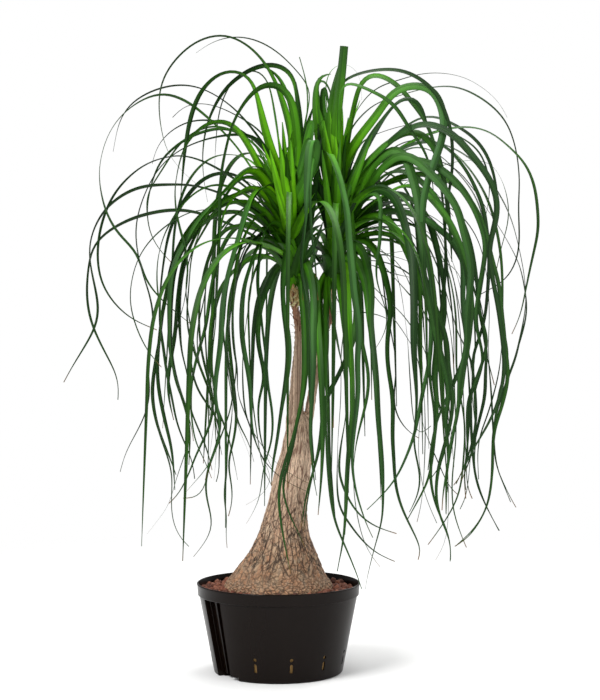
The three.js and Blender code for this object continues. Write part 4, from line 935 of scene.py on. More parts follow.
# each leaf: height of its root, depth of its tip, width, turn in degrees at the root and at the tip
# (0 is edge-on to the front), then its path as seen from the front, in x and z pairs
leftLeaves = [
    [780, -40, 15, 85, 8, 20, 850, 22, 905, 14, 957, 0, 996, -20, 1037, -50, 1071, -90, 1091, -124, 1087,
      -150, 1074, -176, 1050, -192, 1028, -203, 1000, -205, 973, -202, 935, -190, 890, -173, 866, -148, 841,
      -130, 828],
    [770, 60, 10, 60, 8, 33, 840, 40, 890, 48, 950, 56, 993, 49, 1010, 34, 1028, 4, 1059, -29, 1080,
      -60, 1089, -90, 1088, -118, 1078, -142, 1061],
    [790, -60, 19, 85, 40, 0, 853, -20, 915, -35, 975, -45, 1010, -60, 1026, -78, 1030, -100, 1026,
      -118, 1012, -130, 999, -145, 969, -155, 931, -161, 889, -165, 845, -168, 816],
    [785, 70, 16, 88, 8, 30, 850, 32, 905, 34, 970, 29, 1012, 20, 1030, 6, 1039, -12, 1043, -43, 1036,
      -64, 1024, -92, 1000, -114, 963, -126, 928, -131, 889, -129, 845, -122, 805],
    [782, 110, 10, 50, 10, 6, 860, 0, 920, -8, 970, -15, 1005, -25, 1025, -40, 1034, -60, 1030, -80, 1012,
      -95, 985, -104, 950, -108, 905, -110, 860],
    [740, -70, 12, 20, 25, -10, 810, -41, 853, -77, 905, -122, 949, -159, 978, -200, 991, -249, 971,
      -286, 933, -305, 882, -308, 850, -297, 791, -277, 753, -243, 717, -229, 673, -202, 638, -179, 618,
      -143, 589],
    [770, 80, 9, 10, 15, -10, 880, -29, 908, -54, 941, -82, 970, -117, 993, -145, 1004, -175, 1006,
      -205, 1000, -235, 987, -259, 968, -274, 941, -284, 891],
    [715, -30, 12, 30, 35, -40, 790, -100, 819, -147, 833, -182, 834, -235, 831, -266, 818, -293, 797,
      -309, 775, -323, 740, -324, 705, -315, 659, -309, 622, -314, 592, -342, 542, -354, 523, -369, 495],
    [735, 40, 10, 15, 20, -45, 820, -100, 859, -131, 875, -168, 885, -199, 880, -231, 868, -277, 826,
      -301, 777, -311, 720, -305, 670, -284, 633, -252, 604, -209, 585],
    [700, 90, 11, 25, 25, -50, 750, -115, 778, -147, 788, -182, 791, -217, 786, -252, 776, -287, 758,
      -305, 744, -319, 726, -326, 693, -329, 640, -321, 596, -298, 546, -279, 509, -274, 480, -276, 465],
    [705, -120, 12, 35, 40, -60, 780, -115, 792, -150, 788, -176, 775, -208, 751, -235, 719, -250, 680,
      -255, 635, -247, 598, -229, 556, -216, 537, -201, 521],
    [760, -90, 14, 50, 30, -22, 897, -48, 919, -75, 920, -112, 915, -155, 901, -185, 883, -212, 853,
      -233, 809, -243, 774, -245, 754, -242, 721, -232, 680, -219, 640, -214, 598, -220, 556, -225, 521,
      -221, 489, -223, 458, -232, 431, -247, 403, -264, 371, -272, 341],
    [775, -130, 15, 65, 30, -20, 840, -40, 880, -64, 920, -82, 940, -108, 944, -132, 933, -157, 906,
      -170, 871, -177, 836, -177, 807, -171, 768, -160, 730, -155, 700, -158, 650, -170, 600, -182, 550,
      -178, 500, -160, 454, -148, 415, -146, 394],
    [765, 110, 9, 12, 15, -30, 890, -73, 926, -95, 932, -117, 929, -150, 918, -180, 898, -199, 880,
      -212, 855, -222, 820, -226, 790, -219, 747, -199, 716, -183, 700],
    [768, 170, 8, 10, 10, -20, 885, -60, 925, -90, 940, -122, 946, -155, 943, -190, 923, -210, 897,
      -217, 870],
    [772, 210, 8, 10, 10, -8, 880, -30, 925, -75, 955, -108, 970, -138, 975, -165, 968, -182, 950],
    [785, -110, 16, 70, 70, 30, 850, 32, 905, 27, 957, 20, 985, 9, 1000, -3, 1007, -20, 1008, -38, 998,
      -64, 966, -80, 933, -89, 897, -97, 859, -99, 836, -100, 800, -101, 750, -104, 700, -106, 650,
      -110, 600, -114, 560, -118, 520, -112, 480],
    [770, -150, 15, 25, 25, -10, 845, -40, 870, -60, 858, -85, 832, -110, 803, -139, 772, -159, 737,
      -178, 703, -186, 657, -187, 605, -187, 567, -183, 523, -168, 482, -154, 443, -152, 410, -157, 380,
      -167, 353, -179, 317, -188, 283, -197, 271, -226, 234],
    [765, -60, 13, 40, 25, -20, 835, -60, 850, -90, 815, -111, 784, -134, 744, -150, 716, -158, 680,
      -158, 640, -150, 590, -138, 530, -122, 490, -107, 460, -97, 435, -103, 400, -107, 382, -119, 353,
      -126, 316, -122, 290, -113, 255, -115, 239, -131, 213, -146, 195],
    [775, -190, 17, 75, 40, -2, 835, -14, 838, -30, 828, -45, 810, -55, 790, -62, 760, -70, 735, -76, 715,
      -82, 695, -88, 670, -94, 640, -97, 605, -98, 570, -102, 540, -106, 510, -110, 480, -105, 450,
      -99, 420, -103, 395, -112, 366, -133, 334, -149, 319, -163, 301],
    [730, -80, 15, 60, 30, -10, 760, -35, 745, -55, 722, -66, 690, -74, 650, -78, 610, -77, 570, -74, 540,
      -68, 510, -72, 480, -60, 450, -48, 420, -38, 390, -28, 365, -12, 345, 8, 328, 25, 318, 48, 308],
    [720, -160, 13, 55, 35, -5, 755, -25, 745, -38, 722, -47, 695, -57, 665, -62, 630, -63, 590, -61, 560,
      -55, 530, -50, 500, -47, 470, -47, 440, -44, 410, -36, 385, -27, 360, -12, 340, -14, 317, -43, 290,
      -56, 284],
    [715, -135, 14, 80, 60, 0, 770, -15, 772, -25, 750, -30, 720, -34, 690, -35, 660, -30, 620, -27, 590,
      -22, 550, -19, 520, -18, 490, -12, 460, -9, 430, -10, 400, -18, 370, -26, 346, -33, 292, -55, 252],
    [690, 90, 12, 50, 30, 10, 705, -2, 697, -12, 672, -25, 645, -33, 610, -36, 575, -33, 550, -27, 525,
      -23, 500, -30, 480, -35, 455, -34, 430, -31, 400, -22, 370, -12, 350],
    [750, -110, 18, 25, 75, 22, 768, 14, 735, 10, 700, 6, 670, 6, 640, 9, 610, 14, 585, 17, 560, 17, 530,
      13, 500, 8, 470, 3, 440, -2, 400, -6, 375, -11, 350, -12, 317],
    [785, -150, 17, 25, 85, 34, 850, 48, 915, 58, 950, 60, 935, 55, 906, 51, 880, 49, 853, 47, 825,
      46, 800, 45, 770, 42, 745, 38, 720, 38, 695, 42, 670, 47, 650, 51, 620, 53, 590, 54, 560, 55, 540,
      55, 520, 54, 480, 53, 440, 52, 410, 54, 380, 57, 355],
    [690, -105, 12, 60, 40, 38, 690, 44, 650, 47, 600, 48, 560, 47, 520, 45, 485, 39, 455, 31, 420,
      23, 390, 14, 365, 8, 345, 3, 325, 0, 300, 1, 280, 4, 255, 8, 230, 14, 200, 18, 180, 21, 166],
    [680, -82, 10, 60, 40, 36, 680, 40, 640, 43, 600, 44, 560, 44, 520, 41, 480, 36, 440, 28, 400,
      20, 365, 10, 335, 6, 315, 10, 295, 18, 270, 28, 248, 38, 230, 45, 212],
    [740, -100, 12, 30, 30, -60, 820, -110, 835, -150, 815, -185, 770, -205, 720, -208, 660, -200, 600,
      -206, 550, -217, 505, -216, 460, -205, 410, -190, 367, -182, 335, -184, 294, -182, 258, -168, 225,
      -154, 213],
    [735, 60, 11, 20, 20, -70, 850, -120, 850, -160, 810, -185, 760, -197, 700, -203, 640, -203, 590,
      -198, 558, -192, 510, -183, 468, -175, 426, -162, 392, -148, 360, -144, 329],
    [705, 40, 11, 30, 25, -40, 760, -90, 760, -115, 720, -130, 670, -136, 610, -132, 550, -120, 500,
      -112, 460, -118, 420, -135, 385, -146, 360, -151, 345, -167, 311, -177, 295, -188, 287],
    [700, 130, 10, 25, 20, -25, 755, -60, 770, -90, 740, -108, 690, -118, 640, -125, 590, -140, 540,
      -150, 490, -150, 440, -142, 390, -126, 359, -115, 330],
    [710, -30, 11, 35, 25, -30, 740, -85, 722, -115, 690, -140, 640, -150, 590, -150, 530, -140, 485,
      -118, 452, -105, 435, -100, 400, -103, 361, -100, 338, -107, 324],
    [700, -60, 12, 40, 30, -20, 740, -60, 742, -80, 700, -92, 650, -95, 600, -92, 560, -88, 520, -82, 485,
      -78, 450, -82, 415, -89, 373, -89, 336, -94, 297, -88, 265, -91, 230, -88, 210],
    [685, 70, 10, 35, 25, -30, 715, -62, 700, -78, 660, -86, 610, -84, 560, -80, 520, -76, 480, -72, 440,
      -76, 400, -87, 353, -80, 318, -80, 283, -86, 265],
    [710, -120, 13, 50, 35, -15, 742, -40, 740, -68, 720, -85, 680, -93, 640, -96, 600, -92, 560, -86, 520,
      -80, 480, -75, 440, -64, 405, -52, 378, -47, 360],
    [790, 20, 7, 80, 60, 35, 880, 50, 960, 49, 1005, 36, 1054],
    [795, -30, 14, 88, 85, 14, 835, 8, 870, 2, 900, -2, 925],
    [795, 0, 16, 88, 85, 20, 845, 24, 890, 24, 925, 22, 950],
    [795, 30, 16, 88, 85, 24, 850, 33, 890, 38, 930, 40, 955],
    [792, -60, 15, 85, 80, 6, 825, -8, 855, -20, 885, -28, 905],
    [780, -140, 13, 60, 88, 34, 850, 48, 905, 57, 922, 58, 900, 54, 860, 52, 820, 53, 780, 56, 745, 61, 710,
      64, 675],
    [735, -50, 17, 88, 80, 30, 765, 36, 800, 38, 840, 40, 880, 44, 915, 47, 940],
    [720, -60, 19, 85, 80, 34, 745, 44, 785, 50, 825, 53, 865, 56, 905, 60, 935],
    [700, -40, 19, 85, 80, 38, 722, 50, 760, 58, 800, 64, 840, 68, 880, 74, 915],
    [690, -50, 16, 80, 80, 36, 700, 52, 715, 66, 740, 76, 770],
    [770, -40, 18, 88, 85, 10, 800, 2, 830, -6, 860, -12, 880],
    [760, -70, 18, 88, 85, 17, 790, 20, 830, 25, 870, 30, 900],
    [745, -90, 15, 88, 88, 12, 765, 6, 790, -2, 820, -8, 842],
    [705, -120, 15, 70, 60, 36, 716, 48, 700, 56, 670, 60, 630, 60, 590, 60, 550, 59, 500, 56, 450, 55, 410,
      57, 370, 60, 330, 66, 300],
]
rightLeaves = [
    [800, -110, 17, 72, 30, 112, 870, 130, 905, 150, 932, 172, 960, 188, 985, 205, 1000, 225, 1006,
      245, 1006, 262, 1001, 273, 988, 280, 970, 285, 948, 284, 925, 279, 905, 272, 885, 264, 862, 256, 840,
      250, 815, 248, 790, 247, 770, 250, 745, 255, 720, 258, 700, 262, 680, 266, 650, 267, 620, 264, 590,
      262, 560, 260, 530, 253, 500, 247, 475, 243, 450, 238, 425, 232, 400, 224, 378, 213, 352, 202, 330,
      180, 303, 165, 288, 152, 276],
    [810, -40, 14, 50, 30, 118, 900, 130, 965, 145, 1015, 160, 1025, 180, 1021, 195, 1012, 208, 1002,
      222, 985, 237, 965, 250, 948, 260, 925, 267, 905, 272, 885, 275, 865, 276, 845, 281, 815, 283, 780,
      286, 740, 287, 700, 284, 660, 280, 620, 278, 580, 280, 540, 283, 500, 283, 460, 285, 430, 289, 400,
      285, 370, 275, 345, 262, 330],
    [815, -80, 10, 20, 60, 95, 960, 105, 1008, 120, 1018, 140, 1026, 165, 1031, 190, 1033, 212, 1031,
      233, 1023, 250, 1012, 262, 1002, 272, 992, 282, 970, 289, 953, 295, 935, 298, 915, 299, 890, 299, 865,
      297, 845, 293, 825, 289, 800, 286, 775, 286, 745, 289, 710, 290, 680, 296, 640, 300, 600, 302, 560,
      301, 520],
    [805, 120, 8, 8, 8, 120, 930, 140, 970, 165, 998, 185, 1008, 205, 1013, 225, 1020, 245, 1025,
      272, 1027, 300, 1024, 325, 1017, 345, 1005, 362, 993, 378, 977, 388, 962, 393, 950],
    [800, 30, 10, 15, 50, 120, 920, 145, 955, 175, 978, 200, 984, 225, 993, 250, 999, 275, 1003, 297, 1004,
      320, 998, 340, 988, 360, 975, 380, 957, 395, 935, 403, 913, 409, 890, 412, 865, 414, 845, 413, 820,
      412, 795, 413, 770, 414, 745, 413, 725, 410, 708, 403, 690, 395, 677, 385, 667, 373, 660, 360, 653,
      345, 645],
    [770, -30, 12, 20, 55, 150, 850, 200, 890, 250, 918, 290, 930, 325, 934, 350, 930, 365, 924, 378, 915,
      395, 900, 410, 886, 423, 872, 433, 852, 440, 832, 444, 805, 446, 780, 447, 760, 443, 738, 437, 712,
      431, 685, 427, 665, 423, 645, 419, 625, 414, 605, 407, 590, 401, 578],
    [755, 60, 10, 20, 25, 160, 830, 215, 868, 262, 878, 300, 865, 325, 840, 345, 812, 360, 790, 372, 772,
      385, 752, 400, 725, 412, 702, 418, 682, 422, 660, 426, 635, 427, 620, 424, 600, 419, 580, 413, 560,
      405, 535, 397, 508, 391, 482, 385, 458, 378, 435, 372, 418],
    [790, -20, 13, 35, 30, 130, 850, 170, 890, 200, 918, 220, 935, 240, 948, 260, 953, 278, 949, 297, 940,
      315, 930, 332, 918, 347, 903, 358, 885, 366, 865, 371, 845, 375, 820, 375, 795, 374, 775, 370, 755,
      364, 735, 357, 715, 352, 695, 346, 675, 341, 655, 342, 630, 348, 600, 354, 570, 357, 540, 365, 515,
      371, 490],
    [785, -150, 16, 30, 30, 140, 855, 180, 895, 215, 925, 240, 938, 265, 938, 290, 927, 305, 916, 320, 900,
      335, 882, 348, 865, 358, 852, 368, 833, 375, 810, 375, 780, 368, 755, 361, 722, 363, 700, 367, 675,
      372, 650, 377, 625, 381, 600, 385, 570, 388, 540, 388, 510, 384, 485, 378, 462, 371, 445, 362, 425,
      350, 405, 338, 385, 328, 368, 320, 348, 312, 330, 301, 318],
    [780, 90, 11, 60, 40, 140, 905, 170, 922, 200, 932, 225, 938, 250, 940, 275, 936, 295, 925, 320, 912,
      340, 898, 352, 880, 358, 862, 362, 845, 363, 820, 360, 800, 356, 780],
    [770, -60, 13, 40, 30, 150, 850, 200, 890, 235, 905, 262, 909, 285, 902, 298, 890, 310, 875, 325, 855,
      335, 835, 345, 812, 352, 795, 355, 775, 357, 755, 361, 730, 362, 700, 360, 670, 358, 640, 355, 610,
      348, 580, 340, 560, 333, 540, 333, 520, 336, 500, 333, 480, 329, 460, 327, 430, 326, 400, 324, 375,
      320, 350, 319, 330, 322, 295],
    [765, 70, 12, 40, 30, 150, 830, 185, 870, 225, 898, 248, 899, 270, 890, 288, 876, 303, 860, 317, 845,
      328, 830, 338, 815, 345, 797, 350, 780, 354, 760, 357, 740, 361, 715, 368, 690, 377, 665, 381, 640,
      384, 610, 386, 585, 383, 560, 381, 530, 377, 505, 371, 480, 364, 455, 356, 430, 346, 405, 342, 375,
      343, 345, 344, 328],
    [760, -130, 19, 65, 35, 130, 800, 150, 850, 172, 880, 190, 896, 205, 899, 217, 887, 226, 862, 232, 842,
      238, 818, 241, 795, 243, 770, 246, 745, 248, 720, 247, 695, 250, 670, 258, 645, 262, 620, 268, 590,
      275, 560, 283, 530, 290, 505, 294, 480, 290, 455, 286, 430, 290, 400, 292, 360, 288, 330, 289, 300,
      288, 268],
    [750, -160, 18, 60, 50, 125, 780, 155, 835, 185, 872, 210, 888, 230, 882, 250, 866, 268, 848, 282, 833,
      295, 815, 308, 795, 314, 775, 318, 755, 323, 735, 328, 715, 332, 690, 330, 660, 326, 630, 323, 600,
      324, 575, 322, 550, 314, 520, 309, 495, 311, 470, 308, 445, 303, 420, 297, 395, 293, 370, 290, 345,
      285, 320, 282, 300, 281, 275],
    [735, -170, 20, 70, 35, 112, 770, 140, 812, 162, 827, 180, 829, 195, 818, 206, 798, 214, 775, 220, 750,
      227, 722, 230, 700, 232, 670, 233, 640, 233, 610, 232, 580, 232, 555, 233, 530, 235, 500, 237, 470,
      236, 440, 233, 415, 231, 395, 235, 370, 241, 348, 244, 330, 242, 310, 235, 290, 225, 272],
    [725, -100, 15, 50, 30, 118, 750, 145, 775, 170, 783, 188, 775, 203, 755, 214, 735, 222, 715, 232, 690,
      243, 665, 255, 640, 262, 610, 270, 580, 272, 550, 266, 515, 270, 480, 273, 455, 271, 425, 268, 400,
      266, 375, 262, 345, 256, 322, 246, 303, 237, 287, 228, 270, 221, 258],
    [715, -150, 15, 60, 40, 115, 735, 135, 735, 147, 712, 153, 690, 158, 665, 160, 640, 158, 615, 158, 595,
      161, 565, 165, 530, 168, 500, 170, 460, 172, 425, 175, 390, 178, 355, 179, 325, 179, 300, 179, 270,
      176, 250, 170, 230, 163, 205, 157, 180, 151, 155, 149, 139],
    [790, -190, 18, 60, 70, 84, 895, 94, 875, 103, 850, 110, 822, 116, 795, 119, 765, 121, 735, 124, 705,
      127, 675, 129, 650, 133, 625, 137, 600, 139, 575, 136, 550, 135, 520, 137, 490, 135, 460, 132, 430,
      128, 400, 126, 370, 127, 340, 132, 310, 139, 285, 147, 262, 155, 240, 162, 228],
    [770, -165, 13, 55, 30, 108, 840, 118, 830, 125, 790, 129, 750, 131, 700, 133, 650, 138, 600, 145, 555,
      152, 525, 155, 500, 153, 475, 148, 450, 142, 430, 136, 405, 131, 380, 129, 355, 128, 325, 131, 290,
      136, 260, 142, 235, 150, 212, 160, 195, 175, 177],
    [700, -110, 13, 70, 60, 100, 690, 108, 650, 112, 610, 117, 570, 122, 540, 127, 510, 128, 480, 126, 440,
      123, 410, 120, 380, 118, 350, 116, 310, 115, 270, 113, 240, 111, 220, 107, 200, 103, 182, 101, 170],
    [690, -115, 14, 70, 50, 85, 660, 83, 610, 84, 570, 83, 530, 84, 480, 83, 440, 83, 400, 85, 360,
      88, 320, 91, 290, 96, 262, 103, 240, 112, 220, 122, 197, 131, 175, 138, 157, 143, 140],
    [685, -90, 13, 60, 40, 77, 665, 73, 620, 70, 580, 69, 540, 71, 500, 75, 460, 80, 425, 74, 395, 66, 362,
      58, 332, 53, 310, 50, 290, 46, 262, 42, 240],
    [695, -70, 12, 40, 25, 88, 665, 92, 620, 98, 590, 103, 560, 108, 535, 113, 515, 114, 490, 116, 465,
      117, 440, 113, 415, 108, 388, 105, 362, 103, 342, 108, 325, 115, 305, 122, 292, 130, 277, 145, 262,
      160, 250, 180, 242, 203, 235],
    [690, 50, 10, 30, 20, 110, 680, 117, 640, 115, 600, 108, 560, 107, 520, 107, 480, 105, 440, 102, 400,
      101, 365, 100, 335, 101, 300, 106, 275, 120, 255, 130, 240, 145, 222, 160, 207, 180, 195, 200, 187],
    [710, -60, 13, 50, 30, 120, 740, 150, 742, 168, 722, 178, 695, 188, 660, 194, 620, 190, 590, 187, 555,
      188, 530, 190, 510, 194, 490, 197, 465, 197, 440, 196, 410, 196, 390, 198, 370, 199, 345, 200, 325,
      205, 300, 212, 278, 222, 257, 233, 235, 243, 215, 248, 200, 240, 190],
    [705, 60, 10, 30, 20, 125, 730, 155, 728, 172, 700, 180, 660, 184, 625, 190, 595, 197, 560, 201, 535,
      201, 505, 198, 475, 199, 450, 207, 430, 218, 415, 232, 402, 241, 399],
    [745, -100, 10, 40, 30, 125, 790, 150, 818, 168, 825, 176, 808, 175, 780, 175, 750, 173, 725, 168, 700,
      166, 680, 170, 660, 178, 640, 186, 615, 187, 590, 178, 570, 168, 555],
    [700, 40, 12, 35, 30, 120, 710, 145, 722, 165, 710, 185, 690, 205, 668, 222, 648, 240, 628, 255, 608,
      264, 588, 270, 565, 277, 540, 284, 515, 290, 490, 293, 478],
    [695, 90, 11, 35, 25, 125, 690, 150, 675, 165, 655, 185, 638, 205, 620, 222, 600, 238, 575, 250, 552,
      258, 530, 262, 505, 268, 480, 277, 455, 284, 435, 290, 405],
    [690, 130, 10, 25, 20, 120, 680, 145, 665, 160, 648, 175, 630, 195, 608, 212, 585, 225, 565, 236, 545,
      242, 520, 246, 495, 245, 470, 243, 445, 248, 425, 253, 405, 262, 385, 272, 362, 283, 338, 290, 320,
      298, 308, 308, 302],
    [700, 170, 9, 15, 15, 115, 700, 140, 700, 165, 695, 185, 685, 205, 679, 225, 676, 240, 672, 252, 665,
      259, 650, 262, 625, 262, 600, 260, 570],
    [705, 190, 9, 15, 15, 125, 715, 150, 712, 180, 714, 205, 719, 230, 722, 250, 716, 265, 711, 282, 703,
      295, 697, 308, 688, 315, 670, 318, 650],
    [745, 30, 14, 50, 35, 150, 790, 200, 805, 240, 808, 270, 812, 290, 813, 303, 808, 309, 795, 311, 775,
      314, 752, 318, 730, 323, 712, 328, 690, 331, 665, 330, 640, 326, 615, 325, 590, 327, 560],
    [735, -70, 16, 60, 50, 150, 775, 200, 790, 240, 780, 262, 770, 278, 755, 292, 745, 305, 733, 315, 718,
      318, 695, 317, 665, 316, 640, 318, 610, 321, 580, 325, 560, 320, 540, 310, 515, 300, 497, 292, 478,
      284, 458, 276, 440],
    [765, -120, 16, 60, 40, 150, 840, 200, 875, 240, 878, 270, 868, 295, 850, 312, 833, 325, 815, 337, 795,
      345, 775, 352, 755, 357, 735, 356, 715, 352, 690, 347, 665, 344, 640, 338, 615, 340, 590, 345, 565,
      352, 545, 350, 520, 343, 500, 334, 470, 338, 450, 340, 425],
    [755, -90, 13, 55, 45, 160, 820, 220, 850, 270, 850, 310, 830, 335, 800, 350, 770, 358, 745, 363, 720,
      370, 695, 377, 670, 381, 645, 383, 615, 387, 585, 389, 555, 393, 530, 395, 505, 388, 470, 380, 440,
      373, 425, 370, 405, 368, 385, 368, 360, 367, 335, 365, 312, 362, 293, 356, 275, 347, 258, 338, 243,
      330, 232, 318, 221, 303, 213],
    [740, 80, 11, 35, 25, 165, 790, 225, 812, 275, 805, 315, 780, 340, 745, 352, 710, 358, 675, 361, 640,
      362, 600, 360, 560, 362, 520, 366, 480, 368, 440, 369, 400, 372, 360, 380, 335, 390, 315, 400, 293,
      408, 280],
    [735, 110, 10, 30, 25, 160, 780, 210, 795, 255, 785, 290, 760, 312, 725, 325, 690, 333, 650, 336, 600,
      338, 560, 335, 520, 332, 480, 336, 440, 340, 410, 337, 380, 336, 350, 342, 325, 348, 305, 356, 285,
      364, 270, 372, 252, 380, 240],
    [730, 20, 12, 40, 25, 150, 765, 200, 775, 240, 760, 270, 730, 288, 695, 298, 655, 304, 610, 305, 560,
      305, 520, 310, 480, 318, 440, 320, 400, 318, 370, 316, 340, 312, 312, 305, 290, 297, 275, 285, 255,
      272, 236, 257, 216],
    [725, -60, 13, 45, 30, 140, 745, 180, 752, 215, 735, 240, 705, 255, 665, 262, 620, 262, 570, 258, 520,
      262, 480, 268, 440, 268, 400, 262, 360, 261, 330, 265, 305, 270, 285, 278, 265, 288, 245, 294, 225,
      297, 205, 295, 187],
    [720, 60, 12, 40, 25, 140, 735, 190, 740, 230, 720, 262, 690, 280, 650, 290, 610, 297, 570, 300, 530,
      302, 490, 303, 450, 305, 410, 302, 370, 298, 330, 298, 300, 300, 275, 305, 258, 311, 240, 318, 222,
      323, 211],
    [715, 120, 10, 30, 20, 140, 720, 175, 722, 205, 700, 225, 665, 236, 620, 240, 570, 243, 520, 245, 470,
      243, 430, 240, 390, 242, 350, 247, 320, 252, 300, 258, 285, 265, 268, 272, 253],
    [712, 140, 10, 30, 20, 128, 745, 145, 755, 170, 762, 200, 760, 220, 750, 235, 730, 245, 700, 250, 660,
      252, 620, 248, 590],
    [800, -70, 14, 60, 35, 102, 900, 103, 960, 107, 1008, 117, 1014, 132, 1009, 150, 1001, 170, 992,
      188, 982, 200, 972, 210, 957, 220, 940, 230, 922, 243, 907, 253, 890, 260, 868, 264, 850, 266, 825],
    [800, 30, 14, 88, 75, 90, 880, 82, 930, 70, 975, 64, 1002, 69, 1020, 79, 1018, 88, 1000, 94, 975],
    [810, 60, 7, 15, 15, 85, 950, 80, 1000, 86, 1030, 101, 1043, 115, 1045, 133, 1035, 141, 1020, 143, 1000,
      143, 980],
    [815, -30, 17, 88, 80, 98, 880, 92, 925, 88, 960],
    [820, 20, 16, 88, 80, 106, 900, 108, 955, 104, 1005],
    [820, 50, 15, 80, 80, 110, 880, 116, 920, 120, 950],
    [812, -60, 17, 88, 88, 96, 850, 88, 885, 82, 915, 78, 945],
    [780, -30, 18, 88, 85, 100, 830, 100, 870, 98, 905, 96, 935],
    [760, -60, 19, 85, 80, 92, 795, 84, 835, 76, 875, 70, 905, 68, 940],
    [735, -60, 19, 85, 80, 86, 765, 77, 800, 70, 840, 64, 880, 60, 910],
    [770, 0, 17, 85, 80, 106, 810, 110, 850, 112, 885, 116, 920],
    [750, -50, 17, 85, 80, 108, 785, 118, 815, 126, 845, 134, 870],
    [725, -60, 16, 85, 80, 106, 750, 120, 780, 132, 805, 142, 825],
    [690, -60, 15, 60, 75, 120, 695, 133, 655, 135, 610, 128, 568, 114, 532, 90, 484, 78, 461, 75, 422,
      71, 391, 63, 353, 54, 327, 47, 300, 42, 267, 39, 245],
]
# the one upright leaf of the right head whose top was cut square
cutLeaf = [815, -40, 20, 88, 88, 98, 900, 100, 950, 105, 994, 109, 1030, 113, 1073]

# thin leaves of each head, in the same form
leftWisps = [
    [720, 60, 5, 20, 30, -60, 790, -110, 740, -126, 640, -122, 500, -120, 400, -126, 316, -140, 295,
     -149, 294, -164, 296],
    [765, 180, 6, 12, 15, -20, 880, -70, 925, -120, 935, -165, 910, -200, 860, -226, 816, -227, 797,
     -219, 747, -199, 716, -183, 700],
    [700, 60, 5, 25, 25, -20, 720, -48, 660, -50, 560, -44, 460, -36, 400, -26, 346, -12, 318],
    [700, -80, 9, 50, 70, -28, 740, -49, 636, -61, 533, -54, 430, -40, 404, -23, 379, -1, 353, 15, 341,
     32, 331, 51, 322],
]
rightWisps = [
    [790, 60, 6, 15, 20, 120, 880, 145, 860, 170, 830, 185, 840, 200, 850, 215, 856, 250, 850, 290, 815],
    [790, 90, 6, 15, 20, 120, 860, 150, 845, 178, 830, 200, 838, 220, 845, 262, 830, 300, 780],
    [700, 30, 5, 25, 25, 95, 650, 102, 625, 110, 617, 145, 616, 165, 613, 180, 610, 187, 604],
    [740, 90, 6, 20, 25, 170, 800, 240, 850, 310, 875, 350, 876, 368, 870, 378, 855, 387, 835, 393, 815,
     396, 790, 394, 765, 388, 745, 380, 715, 375, 690],
    [715, 60, 6, 20, 25, 160, 760, 205, 740, 232, 660, 246, 540, 252, 420, 250, 340, 246, 290, 242, 270,
     238, 255],
    [715, 100, 6, 20, 25, 170, 770, 230, 750, 265, 660, 280, 540, 288, 400, 292, 300, 290, 240, 286, 220,
     280, 205, 270, 190],
    [705, 40, 6, 20, 25, 150, 740, 195, 700, 218, 600, 226, 500, 232, 430, 241, 401, 262, 420],
    [725, 70, 6, 20, 25, 180, 780, 250, 780, 300, 700, 322, 600, 332, 480, 330, 370, 320, 290, 312, 277],
    [725, 10, 6, 20, 25, 180, 760, 250, 760, 295, 690, 312, 580, 318, 460, 322, 370, 325, 310, 328, 300,
     333, 295],
]

